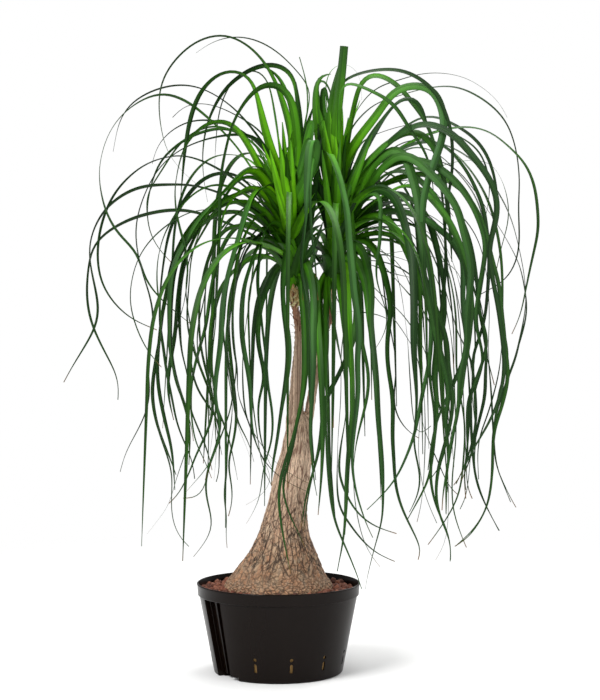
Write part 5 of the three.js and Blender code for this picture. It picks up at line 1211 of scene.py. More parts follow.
# more leaves of each head, by look
leftMore = {
    "dark": [
        [690, -70, 15, 60, 75, 37, 702, 46, 654, 52, 585, 52, 516, 54, 447, 58, 387, 64, 327],
    ],
    "pale": [
        [775, -175, 27, 70, 80, 64, 894, 61, 922, 54, 908, 51, 868, 47, 808, 47, 765],
        [760, -150, 9, 80, 80, 59, 901, 54, 877, 51, 825, 46, 765, 40, 702, 42, 636],
        [760, -165, 9, 80, 80, 63, 894, 58, 877, 54, 825, 56, 765, 63, 702, 68, 636],
    ],
    "young": [
        [745, -70, 24, 88, 85, 9, 800, -4, 846, -15, 894],
        [755, -80, 24, 88, 85, 16, 800, 9, 851, 3, 903],
        [750, -75, 22, 88, 85, 23, 800, 23, 851, 21, 911],
    ],
    "green": [
        [720, -90, 21, 22, 75, -28, 788, -56, 748, -70, 702, -75, 654, -78, 597, -75, 559, -71, 511,
         -78, 477, -80, 453, -95, 410, -114, 362, -126, 327],
        [690, -110, 17, 60, 70, 58, 679, 64, 619, 70, 551, 75, 465, 76, 396, 73, 327, 68, 267],
        [725, -100, 18, 22, 65, -28, 808, -66, 788, -97, 753, -116, 702, -125, 654, -128, 631, -138,
         590, -138, 538, -131, 511, -114, 465, -107, 422, -97, 370],
        [730, -40, 17, 22, 60, -28, 825, -75, 815, -126, 788, -161, 748, -183, 702, -193, 654, -198,
         602, -207, 551, -216, 494, -217, 470, -207, 416, -193, 382, -176, 336],
        [790, 0, 26, 88, 85, 37, 894, 35, 954, 30, 1011],
        [788, 10, 22, 85, 85, 27, 894, 16, 946, 3, 989, -13, 1032],
        [720, -120, 20, 22, 70, -40, 800, -92, 800, -135, 757, -159, 705, -169, 654, -169, 597, -164,
         538, -155, 511, -154, 477, -152, 453, -135, 410, -123, 382, -114, 344],
        [760, -170, 21, 22, 75, -28, 832, -46, 813, -54, 782, -66, 748, -76, 714, -85, 679, -92, 636,
         -92, 616, -97, 559, -104, 502, -106, 470, -111, 422, -118, 370],
    ],
    "bright": [
        [755, -140, 19, 22, 75, -46, 834, -61, 825, -87, 800, -97, 770, -102, 731, -104, 688, -106,
         636, -107, 597, -114, 538, -113, 504, -106, 468, -109, 425, -106, 382, -111, 327],
        [788, -30, 18, 80, 50, 23, 911, 21, 954, 15, 989, 3, 1018, -15, 1035, -28, 1038],
        [765, -130, 21, 40, 70, -46, 863, -66, 846, -92, 822, -113, 798, -128, 770, -140, 740, -149,
         712, -152, 679, -155, 636, -157, 611, -152, 573, -138, 533, -123, 494, -106, 453, -92, 422,
         -80, 379, -70, 327],
        [740, -60, 20, 10, 72, -28, 829, -61, 822, -97, 800, -126, 782, -152, 753, -169, 719, -180,
         688, -185, 645, -186, 602, -185, 559, -176, 504, -155, 435, -152, 396, -154, 353],
    ],
    "mid": [
        [725, -30, 19, -10, 40, -46, 788, -92, 808, -128, 788, -152, 743, -168, 691, -174, 636, -176,
         585, -186, 530, -190, 478, -180, 430],
        [715, -80, 19, 0, 72, -49, 782, -109, 782, -161, 731, -190, 654, -204, 568, -207, 499, -195,
         430, -183, 379, -178, 310],
        [790, 20, 20, 85, 85, 42, 911, 52, 946, 61, 971],
        [715, -60, 17, 22, 60, -28, 765, -56, 729, -73, 679, -83, 628, -87, 559, -87, 533, -78, 494,
         -75, 453, -70, 425, -52, 396, -42, 358],
    ],
}
rightMore = {
    "bright": [
        [800, -25, 34, 88, 85, 95, 894, 92, 937, 95, 989, 107, 1049],
        [700, -120, 17, 60, 80, 111, 702, 118, 636, 123, 568, 126, 499, 126, 430, 121, 362, 118, 293,
         114, 233],
        [790, 0, 26, 88, 80, 75, 894, 66, 946, 63, 989, 66, 1018, 76, 1028, 90, 1025],
        [800, -10, 30, 85, 80, 82, 894, 75, 937, 68, 971],
        [735, -60, 20, 85, 85, 88, 782, 82, 834, 75, 894],
        [740, -60, 22, 85, 85, 99, 782, 102, 843, 106, 911],
        [750, -60, 22, 80, 80, 114, 800, 137, 860, 161, 920],
    ],
    "mid": [
        [745, -20, 19, 60, 35, 143, 782, 174, 808, 209, 817, 240, 801, 260, 765, 274, 714, 283, 662,
         286, 611, 277, 559, 271, 508, 277, 447],
        [705, -90, 16, 50, 75, 126, 714, 145, 679, 157, 602, 166, 516, 171, 430, 174, 362, 176, 293],
        [760, -110, 15, 10, 20, 161, 834, 209, 860, 260, 825, 295, 765, 315, 714, 324, 671, 326, 633,
         324, 590, 324, 547, 312, 521, 303, 494, 291, 470, 277, 442, 264, 396, 257, 344],
        [755, -60, 14, 10, 20, 171, 829, 217, 868, 286, 825, 326, 748, 339, 679, 343, 636, 346, 605,
         358, 576, 355, 542, 343, 511, 338, 494, 326, 470, 324, 427, 324, 394, 327, 370, 319, 349, 305,
         320],
        [720, -80, 15, 10, 20, 150, 782, 192, 765, 235, 705, 264, 636, 283, 585, 290, 559, 291, 516,
         298, 487, 298, 442, 288, 396, 274, 344, 271, 293, 284, 248, 296, 222, 296, 190],
    ],
    "green": [
        [775, -60, 20, 75, 40, 140, 856, 168, 891, 198, 915, 226, 929, 250, 922, 271, 894, 283, 856,
         290, 808, 295, 757, 298, 702],
        [690, -60, 15, 60, 75, 71, 662, 75, 619, 80, 568, 83, 511, 87, 439, 88, 374, 94, 293, 99, 250],
        [795, 10, 20, 88, 80, 85, 911, 75, 980, 78, 1011, 85, 980, 90, 959],
        [775, -20, 14, 10, 20, 154, 877, 209, 920, 295, 894, 355, 817, 379, 731, 384, 671, 384, 623,
         386, 585, 393, 556, 393, 521, 384, 499, 377, 470, 372, 427, 367, 394, 369, 356, 365, 320, 357,
         277, 336, 243, 305, 214],
        [740, -140, 16, 10, 20, 171, 808, 226, 834, 286, 782, 320, 705, 332, 636, 329, 585, 324, 547,
         317, 511, 315, 477, 307, 442, 300, 399, 293, 362, 288, 322, 288, 270],
    ],
    "dark": [
        [785, -40, 22, 75, 40, 133, 868, 150, 903, 171, 937, 192, 966, 212, 985, 236, 984, 250, 959,
         257, 929],
        [765, 20, 13, 10, 20, 157, 860, 226, 911, 320, 886, 389, 800, 418, 702, 425, 636, 415, 573,
         406, 533, 394, 504, 386, 477, 375, 447, 369, 399, 367, 344],
        [730, -30, 15, 10, 20, 171, 788, 226, 800, 286, 748, 329, 671, 350, 602, 357, 551, 355, 511,
         355, 470, 346, 435, 338, 399, 329, 362, 315, 327],
        [725, 30, 15, 10, 20, 161, 777, 217, 782, 260, 722, 286, 654, 298, 614, 308, 576, 326, 547,
         334, 511, 338, 470, 339, 422, 329, 379, 319, 344, 322, 310],
        [745, 60, 11, 10, 20, 157, 822, 226, 851, 295, 774, 346, 636, 363, 499, 370, 396, 375, 349,
         387, 319, 399, 289],
        [735, -10, 12, 10, 20, 161, 800, 209, 825, 277, 740, 315, 602, 329, 465, 332, 396, 341, 320,
         357, 282, 379, 240],
    ],
}

# leaves behind and in front of the heads follow a rule; pairs are least and most, angles in degrees
fullness = {
    "behind": 14, "before": 6, "beforeRise": 0.4, "skip": 7, "rootShare": (0.15, 0.95), "spread": 62,
    "golden": 0.618, "sway": 50, "launch": (12, 72), "hang": (-84, -90), "bendShare": (0.45, 0.7),
    "length": (480, 800), "width": 13, "widthShare": (0.8, 1.2), "tipTurn": 20, "tipHeight": 200,
    "steps": 40,
}

# short broad leaves that fill each crown
rosette = {
    "count": 38, "skip": 7, "golden": 0.618, "rootShare": (0.02, 0.9), "rootLift": 4, "launch": (56, 86),
    "hang": (-10, 66), "uneven": 30, "length": (110, 200), "width": 23, "widthShare": (0.75, 1.1),
    "near": 4, "steps": 20, "tries": (0, 14, -14, 28, -28, 42, -42), "shade": (0.3, 1.0),
    "unevenShade": 0.2, "bloom": 0.3,
}
# dry leaf bases and loose fibres where each stem ends, by height on the stem
dryParts = {
    "sheath": {"count": 22, "heights": (622, 656), "launch": (66, 86), "length": (22, 36), "width": 16,
               "shade": (0.75, 1.0)},
    "fibre": {"count": 30, "heights": (572, 642), "launch": (-20, 78), "length": (9, 24), "width": 1.6,
              "shade": (0.0, 0.45)},
}
dryTurn = 2.4  # radians from one dry leaf to the next
dryDepth = 0.7  # share of the stem's radius that they spring from

# looks of single leaves, by their place in the lists above: shade from black-green 0 to lime 1, and painted
# sheen, a pale bluish highlight mixed into the colour
leafLooks = {
    "young": (0.98, 0.05),
    "bright": (0.74, 0.15),
    "green": (0.52, 0.3),
    "mid": (0.38, 0.45),
    "near": (0.55, 0.0),
    "pale": (0.55, 1.0),
    "blue": (0.3, 0.85),
    # dark and deep: partly the leaves' own dark green, partly painted shade for leaves that hang in shadow
    "dark": (0.16, 0.3),
    "deep": (0.04, 0.15),
}
# any other leaf: shade at the foot of the crown, gain up to its top, uneven part, least and most, painted
# sheen
plainLook = {"shade": 0.24, "rise": 0.36, "uneven": 0.26, "range": (0.02, 0.8), "bloom": 0.2,
             "unevenPaintedSheen": 0.4}
leftLooks = {
    "young": (37, 38, 40, 46, 48), "bright": (0, 2, 3, 12, 39, 47), "mid": (17, 18, 26, 27, 31, 33),
    "green": (1, 5, 16, 28), "pale": (25, 41), "blue": (19, 21, 22, 24, 49), "dark": (7, 8, 11, 29, 42, 43),
    "deep": (6, 14, 15, 20, 44, 45),
}
rightLooks = {
    "young": (46, 49, 50), "bright": ("cut", 47, 48), "mid": (12, 13, 19, 20, 21, 22, 24, 34, 56),
    "green": (1, 3, 15, 18, 35, 43, 44, 53, 54), "pale": (0, 17), "blue": (33,),
    "dark": (7, 8, 9, 10, 11, 14, 32, 55), "deep": (2, 4, 6, 25, 30, 51, 52),
}


def lookOf(leaf, looks, crown, draw):
    if "look" in leaf:
        return leaf["look"]
    for name, members in looks.items():
        if leaf["index"] in members:
            return leafLooks[name]
    plain, low, high = plainLook, crown[1][0], crown[4][0]
    rise = (leaf["points"][0].z - low) / (high - low)
    shade = plain["shade"] + plain["rise"] * rise + plain["uneven"] * (draw() - 0.5)
    least, most = plain["range"]
    return min(most, max(least, shade)), plain["bloom"] + plain["unevenPaintedSheen"] * draw()


def placed(x, z, depth):
    # a place seen at x and z on the front plane, at a depth behind that plane
    spread = 1 + depth / eye["distance"]
    return Vector((eye["x"] + (x - eye["x"]) * spread, depth, eye["z"] + (z - eye["z"]) * spread))


def besideTrunk(point):
    # keeps a path away from the trunk and its stems
    for rows in (footRows, leftStemRows, rightStemRows):
        if rows[0][0] <= point.z <= rows[-1][0]:
            _, x, y, radius = rowAt(rows, point.z)
            away = Vector((point.x - x, point.y - y))
            if away.length < radius + trunkRoom:
                away *= (radius + trunkRoom) / away.length
                point = Vector((x + away.x, y + away.y, point.z))
    return point


def slopeAt(before, at, after, gapBefore, gapAfter):
    # slope of a centripetal curve at a point that it passes
    return (at - before) / gapBefore - (after - before) / (gapBefore + gapAfter) + (after - at) / gapAfter


def evenly(points, count):
    # count + 1 even places along a centripetal curve through the points
    whole = [points[0] * 2 - points[1], *points, points[-1] * 2 - points[-2]]
    fine, least = 24, 1e-3
    samples = []
    for before, start, end, after in zip(whole, whole[1:], whole[2:], whole[3:]):
        gaps = [math.sqrt((b - a).length) for a, b in ((before, start), (start, end), (end, after))]
        gaps = [gap if gap > least else gaps[1] for gap in gaps]
        first = slopeAt(before, start, end, gaps[0], gaps[1]) * gaps[1]
        last = slopeAt(start, end, after, gaps[1], gaps[2]) * gaps[1]
        for k in range(fine):
            t = k / fine
            samples.append(start + first * t + (start * -3 + end * 3 - first * 2 - last) * t ** 2
                           + (start * 2 - end * 2 + first + last) * t ** 3)
    samples = np.array([*samples, points[-1]])
    lengths = np.concatenate([[0], np.cumsum(np.linalg.norm(np.diff(samples, axis=0), axis=1))])
    wanted = np.linspace(0, lengths[-1], count + 1)
    return np.stack([np.interp(wanted, lengths, samples[:, axis]) for axis in range(3)], axis=1), lengths[-1]


def newLeaf(points, width, across, rootTurn, tipTurn, cut=False):
    # turns are measured from the direction that the blade is wide in
    samples, length = evenly(points, apart["samples"])
    return {"points": points, "width": width, "across": across, "turns": (rootTurn, tipTurn), "cut": cut,
            "samples": samples, "length": length}


def drawnLeaf(crown, row, depthStep, cut=False):
    rootHeight, tipDepth, width, rootTurn, tipTurn, *seen = row
    _, rootX, rootY, _ = rowAt(crown, rootHeight)
    places = list(zip(seen[::2], seen[1::2]))
    along, x, z = [0.0], rootX, rootHeight
    for place in places:
        along.append(along[-1] + math.hypot(place[0] - x, place[1] - z))
        x, z = place
    points = [Vector((rootX, rootY, rootHeight))]
    for k, place in enumerate(places):
        part = min(1.0, along[k + 1] / along[-1] / bladeShape["swing"])
        depth = rootY + (tipDepth + depthStep - rootY) * math.sin(part * math.pi / 2)
        points.append(besideTrunk(placed(*place, depth)))
    return newLeaf(points, width, Vector((0, 1, 0)), rootTurn, tipTurn, cut)


def arched(start, heading, sway, pitches, length, bendBy, steps, lowest):
    # a path that leaves its start at one pitch and bends over to another, all angles in radians
    point = start.copy()
    points = [point.copy()]
    for k in range(steps):
        if point.z <= lowest:
            break
        pitch = lerp(*pitches, smoothstep(k / steps, 0, bendBy))
        heading += sway / steps
        point += direction(pitch, heading) * (length / steps)
        if k % 4 == 3:
            points.append(besideTrunk(point.copy()))
    return points


def ruledLeaf(crown, index, draw):
    # a leaf that springs from the crown, arches and hangs
    rule = fullness
    count = rule["behind"] + rule["before"]
    share = 1 if index < rule["behind"] else rule["beforeRise"]
    rise = share * ((index * rule["skip"]) % count) / (count - 1)
    rootHeight = lerp(crown[1][0], crown[4][0], lerp(*rule["rootShare"], rise))
    _, rootX, rootY, _ = rowAt(crown, rootHeight)
    facing = 90 if index < rule["behind"] else -90
    heading = math.radians(facing + rule["spread"] * (2 * (index * rule["golden"] % 1) - 1))
    sway = math.radians(rule["sway"] * (draw() - 0.5))
    launch = math.radians(lerp(*rule["launch"], rise))
    hang = math.radians(lerp(*rule["hang"], draw()))
    length = lerp(*rule["length"], draw())
    bendBy = lerp(*rule["bendShare"], draw())
    points = arched(Vector((rootX, rootY, rootHeight)), heading, sway, (launch, hang), length, bendBy,
                    rule["steps"], rule["tipHeight"])
    width = rule["width"] * lerp(*rule["widthShare"], draw())
    return newLeaf(points, width, sideways(heading), 0, lerp(-rule["tipTurn"], rule["tipTurn"], draw()))


def isClear(leaf, others, distance=apart["distance"]):
    for other in others:
        gaps = leaf["samples"][:, None, :] - other["samples"][None, :, :]
        if (np.einsum("ijk,ijk->ij", gaps, gaps) <= distance ** 2).any():
            return False
    return True


def drawnLeaves(crown, rows, others):
    # each bent nearer or farther until it is clear of the others
    leaves = []
    for index, row in enumerate(rows):
        for depthStep in apart["steps"]:
            leaf = drawnLeaf(crown, row, depthStep)
            if isClear(leaf, others):
                leaves.append({**leaf, "index": index})
                break
    return leaves


def moreLeaves(crown, kinds, others):
    return [{**leaf, "look": leafLooks[kind]}
            for kind, rows in kinds.items() for leaf in drawnLeaves(crown, rows, others)]


def ruledLeaves(crown, seed, others):
    draw = seededRandom(seed)
    leaves = [ruledLeaf(crown, index, draw) for index in range(fullness["behind"] + fullness["before"])]
    for leaf in leaves[fullness["behind"]:]:
        leaf["look"] = leafLooks["near"]
    return [{**leaf, "index": None} for leaf in leaves if isClear(leaf, others)]


def rosetteLeaves(crown, seed, others):
    # each turned aside until it is clear of the other head
    rule, draw = rosette, seededRandom(seed)
    leaves = []
    for index in range(rule["count"]):
        rise = ((index * rule["skip"]) % rule["count"]) / (rule["count"] - 1)
        rootHeight = lerp(crown[0][0] + rule["rootLift"], crown[-1][0], lerp(*rule["rootShare"], rise))
        _, rootX, rootY, _ = rowAt(crown, rootHeight)
        root = Vector((rootX, rootY, rootHeight))
        pitches = (math.radians(lerp(*rule["launch"], rise)),
                   math.radians(lerp(*rule["hang"], rise) + rule["uneven"] * (draw() - 0.5)))
        length = lerp(*rule["length"], draw())
        width = rule["width"] * lerp(*rule["widthShare"], draw())
        shade = lerp(*rule["shade"], rise) + rule["unevenShade"] * (draw() - 0.5)
        look = shade, rule["bloom"] * draw()
        for extra in rule["tries"]:
            heading = math.radians(360 * rule["golden"] * index + extra)
            points = arched(root, heading, 0, pitches, length, 1, rule["steps"], 0)
            leaf = newLeaf(points, width, sideways(heading), 0, 0)
            if isClear(leaf, others, rule["near"]):
                leaves.append({**leaf, "look": look})
                break
    return leaves


def dryLeaves(stem, seed):
    draw = seededRandom(seed)
    leaves = []
    for kind in dryParts.values():
        for index in range(kind["count"]):
            height = lerp(*kind["heights"], index / (kind["count"] - 1))
            _, x, y, radius = rowAt(stem, min(height, stem[-1][0]))
            heading = dryTurn * index + draw()
            reach = direction(math.radians(lerp(*kind["launch"], draw())), heading)
            out = radius * dryDepth
            start = Vector((x + out * math.cos(heading), y + out * math.sin(heading), height))
            length = lerp(*kind["length"], draw())
            points = [start + reach * length * k / 3 for k in range(4)]
            leaf = newLeaf(points, kind["width"], sideways(heading), 0, 0)
            leaves.append({**leaf, "look": (lerp(*kind["shade"], draw()), 0.0)})
    return leaves


def crownAsLeaf(crown):
    return newLeaf([Vector((x, y, height)) for height, x, y, _ in crown], 0, Vector((0, 1, 0)), 0, 0)


def bladePath(leaf, draw):
    # the points of a blade, half its width and the way it faces at each of them
    shape = bladeShape
    count = max(shape["fewest"], round(leaf["length"] / shape["spacing"]))
    points, _ = evenly(leaf["points"], count)
    for _ in range(shape["smoothing"]):
        points[1:-1] = points[1:-1] * 0.5 + (points[:-2] + points[2:]) * 0.25
    across = leaf["across"].copy()
    outward = points[math.ceil(count / 2)] - points[0]
    rootTurn, tipTurn = leaf["turns"]
    rootSide = Matrix.Rotation(math.radians(rootTurn), 3, "Z") @ across
    if rootSide.x * outward[1] - rootSide.y * outward[0] > 0:
        across.negate()
    phase, waves = draw() * fullTurn, lerp(*shape["waves"], draw())
    opens = tipTurn > shape["thinTurn"]
    archTurn = tipTurn * (shape["archShare"] if opens and tipTurn < shape["openTurn"] else 1)
    least, growth, most = shape["wobble"]
    rows = []
    for k in range(count + 1):
        part = k / count
        tangent = Vector(points[min(count, k + 1)] - points[max(0, k - 1)]).normalized()
        across = (across - tangent * across.dot(tangent)).normalized()
        sway = min(most, least + growth * tipTurn) * smoothstep(part, *shape["wobbleFrom"])
        wobble = sway * math.sin(phase + waves * 2 * math.pi * part)
        turn = lerp(archTurn, rootTurn, (1 - part) ** shape["untwist"])
        if opens:
            turn += max(0, shape["openTurn"] - turn) * smoothstep(part, *shape["openFrom"])
        turn = math.radians(turn + (0 if leaf["cut"] else wobble))
        side = across * math.cos(turn) + tangent.cross(across) * math.sin(turn)
        narrowing = 1 - shape["cutTaper"] * part if leaf["cut"] else (1 - part) ** shape["taper"]
        flare = 1 + shape["baseFlare"] * math.exp(-part * shape["flareFade"])
        half = leaf["width"] / 2 * narrowing * flare
        rows.append((points[k], side, max(half, shape["leastHalf"]), part))
    return rows


def bladeTree(material):
    # turns each path into a thin closed blade with a gutter along it
    tree, given = newTree("growBlades", {"Thickness": "Float", "Gutter": "Float", "Profile Points": "Int"})
    paths = put(tree, "GeometryNodeMeshToCurve", {"Mesh": given["Geometry"]})
    side = put(tree, "GeometryNodeInputNamedAttribute", {"Name": "side"}, data_type="FLOAT_VECTOR")
    turned = put(tree, "GeometryNodeSetCurveNormal", {"Curve": paths.outputs[0], "Normal": side.outputs[0]},
                 mode="FREE")
    ring = put(tree, "GeometryNodeCurvePrimitiveCircle",
               {"Resolution": given["Profile Points"], "Radius": 1.0})
    place = put(tree, "ShaderNodeSeparateXYZ", {0: put(tree, "GeometryNodeInputPosition").outputs[0]})
    marked = put(tree, "GeometryNodeStoreNamedAttribute",
                 {"Geometry": ring.outputs["Curve"], "Name": "across", "Value": place.outputs[0]},
                 data_type="FLOAT", domain="POINT")
    bend = maths(tree, "POWER", maths(tree, "ABSOLUTE", place.outputs[0]), bladeShape["gutterPower"])
    level = maths(tree, "ADD", maths(tree, "MULTIPLY", bend, given["Gutter"]),
                  maths(tree, "MULTIPLY", place.outputs[1], given["Thickness"]))
    outline = put(tree, "ShaderNodeCombineXYZ", {0: place.outputs[0], 1: level})
    profile = put(tree, "GeometryNodeSetPosition",
                  {"Geometry": marked.outputs[0], "Position": outline.outputs[0]})
    half = put(tree, "GeometryNodeInputNamedAttribute", {"Name": "halfWidth"})
    blades = put(tree, "GeometryNodeCurveToMesh", {
        "Curve": turned.outputs[0], "Profile Curve": profile.outputs[0], "Scale": half.outputs[0],
        "Fill Caps": True,
    })
    soft = put(tree, "GeometryNodeSetShadeSmooth", {"Geometry": blades.outputs[0]})
    return endTree(tree, soft.outputs[0], material)


leafColors = [
    (0.0, (0.0040, 0.0160, 0.0020)),
    (0.2, (0.0120, 0.0560, 0.0030)),
    (0.45, (0.0420, 0.1700, 0.0040)),
    (0.7, (0.0900, 0.3300, 0.0045)),
    (1.0, (0.2000, 0.6000, 0.0050)),
]
leafLook = {
    "specular": {"Specular IOR Level": 0.1},
    "roughness": (0.3, 0.7, 0.4, 0.52),  # blotches from and to, roughness at each
    "blotch": {"scale": 14, "stretch": (1, 1, 0.5), "detail": 3},
    "blotchShade": (0.3, 0.7, -0.10, 0.18),
    # the hanging part of a leaf is greyer than its root
    "greyShare": 0.6,
    "grey": (0.014, 0.028, 0.012),
    # painted sheen: a pale bluish-green highlight mixed into the colour
    "paintedSheenShare": 0.22,
    "bloom": (0.11, 0.30, 0.10),
    # fine veins run along the blade, beside a paler middle
    "veins": 26.0,
    "veinTones": (-1, 1, 0.84, 1.08),
    "middleShare": (0.0, 0.13, 0.18, 0.0),
    "middle": (0.12, 0.30, 0.05),
    # painted shade: one half of a blade is darker than the other, as if turned from the light, and its edges
    # are darker still
    "paintedFoldShadeShare": (-0.12, 0.12, 0.46, 0.0),
    "paintedFoldShade": (0.006, 0.026, 0.003),
    "paintedEdgeShadeShare": (0.65, 1.0, 0.0, 0.45),
    "edge": (0.005, 0.020, 0.003),
    # some tips are dry
    "tipFrom": (0.965, 0.995),
    "dryLeaves": (0.45, 0.6),
    "dry": (0.16, 0.085, 0.03),
    "bump": (0.14, 0.0004),
}
dryLook = {
    "streaks": {"scale": 420, "stretch": (1, 1, 0.1), "detail": 3},
    "streakShade": (0.35, 0.65, -0.14, 0.08),
    "colors": ((0.0, (0.09, 0.032, 0.015)), (0.4, (0.30, 0.12, 0.05)), (0.75, (0.62, 0.44, 0.2)),
               (1.0, (0.80, 0.70, 0.40))),
    "tipShare": (0.7, 1.0, 0.0, 0.4),
    "tip": (0.16, 0.06, 0.025),
    "bump": (0.3, 0.0005),
}
crownShape = {"sides": 28, "step": 6,
              "values": {"shade": 0.6, "bloom": 0.0, "leafId": 0.2, "along": 0.1, "across": 0.5, "grey": 0.0}}
headSeeds = {"ruled": (5, 8), "looks": 71, "rosettes": (41, 43), "dry": (51, 53)}  # pairs are left and right


def leafMaterial():
    look = leafLook
    material, tree, shader = newMaterial("leafBlade", look["specular"])
    along, across, shade, bloom, grey, leafId = (
        attribute(tree, name) for name in ("along", "across", "shade", "bloom", "grey", "leafId"))
    blotch = noisy(tree, **look["blotch"])
    fromMiddle = maths(tree, "ABSOLUTE", across)
    green = ramp(tree, maths(tree, "ADD", shade, between(tree, blotch, *look["blotchShade"])), leafColors)
    green = mixed(tree, maths(tree, "MULTIPLY", grey, look["greyShare"]), green, look["grey"])
    # painted sheen mixed into the green
    green = mixed(tree, maths(tree, "MULTIPLY", bloom, look["paintedSheenShare"]), green, look["bloom"])
    wave = maths(tree, "SINE", maths(tree, "MULTIPLY", across, look["veins"]))
    veins = between(tree, wave, *look["veinTones"])
    veinTone = put(tree, "ShaderNodeCombineColor", {0: veins, 1: veins, 2: veins}).outputs[0]
    green = mixed(tree, 1.0, green, veinTone, "MULTIPLY")
    green = mixed(tree, between(tree, fromMiddle, *look["middleShare"]), green, look["middle"])
    # painted shade on one half of the blade and at its edges
    green = mixed(tree, between(tree, across, *look["paintedFoldShadeShare"]), green, look["paintedFoldShade"])
    green = mixed(tree, between(tree, fromMiddle, *look["paintedEdgeShadeShare"]), green, look["edge"])
    dryness = maths(tree, "MULTIPLY", between(tree, along, *look["tipFrom"]),
                    between(tree, leafId, *look["dryLeaves"]))
    tree.links.new(mixed(tree, dryness, green, look["dry"]), shader.inputs["Base Color"])
    tree.links.new(between(tree, blotch, *look["roughness"]), shader.inputs["Roughness"])
    bumped(tree, shader, wave, *look["bump"])
    return material


def dryMaterial():
    look = dryLook
    material, tree, shader = newMaterial("dryLeafBase", {"Roughness": 0.75, "Specular IOR Level": 0.2})
    streaks = noisy(tree, **look["streaks"])
    toned = maths(tree, "ADD", attribute(tree, "shade"), between(tree, streaks, *look["streakShade"]))
    tips = between(tree, attribute(tree, "along"), *look["tipShare"])
    color = mixed(tree, tips, ramp(tree, toned, look["colors"]), look["tip"])
    tree.links.new(color, shader.inputs["Base Color"])
    bumped(tree, shader, streaks, *look["bump"])
    return material


def makeBlades(name, leaves, material, draw, looks, crown, *nodes):
    points, edges, sides = [], [], []
    columns = {key: [] for key in ("halfWidth", "along", "shade", "bloom", "leafId", "grey")}
    rootGain, rootLeast, rootReach = bladeLight["root"]
    fade, hangingFade = bladeLight["fade"]
    for leaf in leaves:
        first = len(points)
        shade, bloom = lookOf(leaf, looks, crown, draw)
        # only leaves that hang can have dry tips
        hangs = leaf["points"][-1].z < leaf["points"][0].z
        leafId = draw() if hangs and not leaf["cut"] else 0
        for point, side, half, part in bladePath(leaf, draw):
            points.append(point * mm)
            sides.extend(side)
            # lighter near the root: partly the leaves' own paler bases, partly painted light shining through
            # the crown
            lit = shade + rootGain * (1 - smoothstep(part, 0.0, rootReach)) * (shade + rootLeast)
            grey = smoothstep(part * leaf["length"], *bladeShape["greyFrom"])
            lit = lerp(lit - fade * part, min(lit, bladeLight["hangingMost"]) - hangingFade * part, grey)
            # painted sheen grows in along the leaf from near its root
            paintedSheenHere = bloom * smoothstep(part, *bladeLight["paintedSheenFrom"])
            for key, value in zip(columns, (half * mm, part, max(0.0, lit), paintedSheenHere, leafId, grey)):
                columns[key].append(value)
        edges.extend((k, k + 1) for k in range(first, len(points) - 1))
    mesh = bpy.data.meshes.new(name)
    mesh.from_pydata(points, edges, [])
    storeVectors(mesh, "side", sides)
    storeValues(mesh, columns)
    blades = grown(addedToScene(name, mesh), bladeTree(material), {
        "Thickness": bladeShape["thickness"], "Gutter": bladeShape["gutter"],
        "Profile Points": bladeShape["profilePoints"],
    })
    blades.data.set_sharp_from_angle(angle=math.radians(bladeShape["sharpFrom"]))
    return finished(blades, "leaf", *nodes)


def makeCrown(name, rows, material):
    # the leafy top of a stem, green all over
    crown = smoothed(cleaned(tube(name, rows, crownShape["sides"], crownShape["step"])))
    count = len(crown.data.vertices)
    storeValues(crown.data, {key: [value] * count for key, value in crownShape["values"].items()})
    return finished(painted(crown, material), "leaf")


def makeHeads():
    crowns = leftCrownRows, rightCrownRows
    leftCrown, rightCrown = crownAsLeaf(leftCrownRows), crownAsLeaf(rightCrownRows)
    left = drawnLeaves(leftCrownRows, leftLeaves, [rightCrown])
    right = drawnLeaves(rightCrownRows, rightLeaves, [leftCrown, *left])
    square = {**drawnLeaf(rightCrownRows, cutLeaf, 0, True), "index": "cut"}
    leftSeed, rightSeed = headSeeds["ruled"]
    right += ruledLeaves(rightCrownRows, rightSeed, [leftCrown, *left])
    left += ruledLeaves(leftCrownRows, leftSeed, [rightCrown, square, *right])
    right += moreLeaves(rightCrownRows, rightMore, [leftCrown, *left])
    left += moreLeaves(leftCrownRows, leftMore, [rightCrown, square, *right])
    print("leaves:", len(left), "left,", len(right) + 1, "right")
    leftThin, rightThin = ([{**drawnLeaf(crown, row, 0), "index": None} for row in rows]
                           for crown, rows in zip(crowns, (leftWisps, rightWisps)))
    leftSeed, rightSeed = headSeeds["rosettes"]
    leftFill = rosetteLeaves(leftCrownRows, leftSeed, [rightCrown, square, *right])
    rightFill = rosetteLeaves(rightCrownRows, rightSeed, [leftCrown, *left, *leftFill])
    material, dry, draw = leafMaterial(), dryMaterial(), seededRandom(headSeeds["looks"])
    leftSeed, rightSeed = headSeeds["dry"]
    for part, finish, leaves in (
            ("leaves", material, (left + leftThin, right + [square] + rightThin)),
            ("rosette", material, (leftFill, rightFill)),
            ("leaf_bases", dry, (dryLeaves(leftStemRows, leftSeed), dryLeaves(rightStemRows, rightSeed)))):
        for side, crown, looks, members in zip(("left", "right"), crowns, (leftLooks, rightLooks), leaves):
            nodes = [f"{side}_head"] if part == "leaves" else []
            makeBlades(f"{side}_{part}", members, finish, draw, looks, crown, *nodes)
    makeCrown("left_crown", leftCrownRows, material)
    makeCrown("right_crown", rightCrownRows, material)


makeHeads()


# Floor, light and camera

stageLook = {
    "focal": 77.8,
    "sensor": 36,
    "floor": (0.86, 0.86, 0.855),
    "floorRings": (0.4, 1.0, 1.8, 2.6),  # radii in metres
    "floorSides": 96,
    "fade": (0.35, 2.0, 1.0, 0.0),
    "surround": 1.0,
    "fill": 0.44,  # light that comes from all round
}
# name, place, aimed at, width, height, power
lamps = (
    ("key", (-1.5, -1.7, 2.4), (0.0, 0.0, 0.6), 1.3, 1.3, 92),
    ("top", (0.2, 0.2, 2.6), (0.05, 0.0, 0.6), 1.6, 1.6, 50),
    ("fill", (2.0, -1.6, 1.2), (0.05, 0.0, 0.5), 1.2, 1.8, 16),
    ("rim", (1.4, 1.9, 1.6), (0.05, 0.0, 0.7), 1.0, 1.6, 22),
)


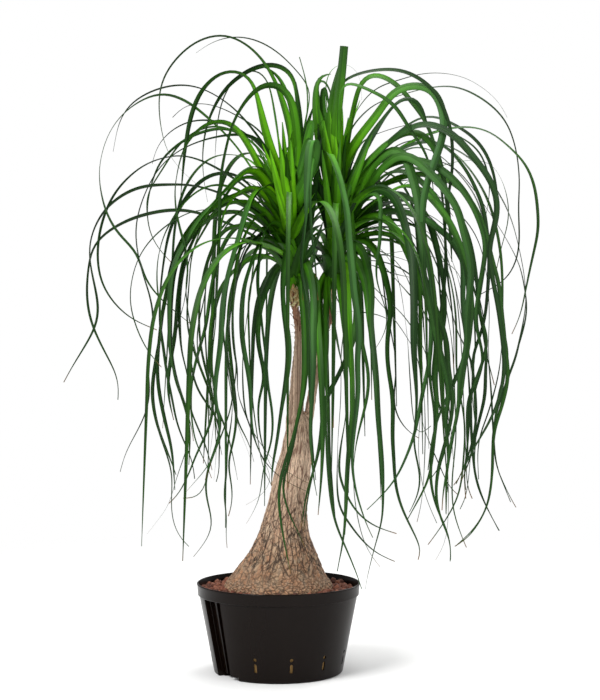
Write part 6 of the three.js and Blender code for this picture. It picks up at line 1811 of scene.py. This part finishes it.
def floorMaterial():
    values = {"Base Color": (*stageLook["floor"], 1), "Roughness": 0.9}
    material, tree, shader = newMaterial("paleFloor", values)
    place = put(tree, "ShaderNodeTexCoord").outputs["Object"]
    out = put(tree, "ShaderNodeVectorMath", {0: place}, operation="LENGTH").outputs["Value"]
    near, far, shown, gone = stageLook["fade"]
    faded = put(tree, "ShaderNodeMapRange", {0: out, 1: near, 2: far, 3: shown, 4: gone},
                interpolation_type="SMOOTHSTEP")
    tree.links.new(faded.outputs[0], shader.inputs["Alpha"])
    return material


def makeFloor():
    rings, sides = stageLook["floorRings"], stageLook["floorSides"]
    points = [Vector((0, 0, 0))]
    for radius in rings:
        points.extend(around(360 * k / sides, radius / mm, 0) for k in range(sides))
    faces = [(0, 1 + k, 1 + (k + 1) % sides) for k in range(sides)]
    for ring in range(len(rings) - 1):
        faces.extend(ringFaces(1 + ring * sides, sides))
    painted(meshObject("floor", points, faces), floorMaterial())


def makeLight():
    world = bpy.data.worlds.new("studio")
    bpy.context.scene.world = world
    world.use_nodes = True
    tree = world.node_tree
    background = tree.nodes["Background"]
    background.inputs["Color"].default_value = (1, 1, 1, 1)
    seen = put(tree, "ShaderNodeLightPath").outputs["Is Camera Ray"]
    tree.links.new(between(tree, seen, 0, 1, stageLook["fill"], stageLook["surround"]),
                   background.inputs["Strength"])
    for name, place, aim, width, height, power in lamps:
        light = bpy.data.lights.new(name, "AREA")
        light.shape = "RECTANGLE"
        light.size, light.size_y = width, height
        light.energy = power
        lamp = addedToScene(name, light)
        lamp.location = place
        lamp.rotation_euler = (Vector(aim) - Vector(place)).to_track_quat("-Z", "Y").to_euler()


def makeStage():
    makeFloor()
    makeLight()
    camera = addedToScene("camera", bpy.data.cameras.new("camera"))
    camera.location = (eye["x"] * mm, -eye["distance"] * mm, eye["z"] * mm)
    camera.rotation_euler = (math.radians(90), 0, 0)
    camera.data.lens = stageLook["focal"]
    camera.data.sensor_width = stageLook["sensor"]
    bpy.context.scene.camera = camera
    bpy.context.scene.view_settings.view_transform = "Standard"
    print("stage made")


makeStage()
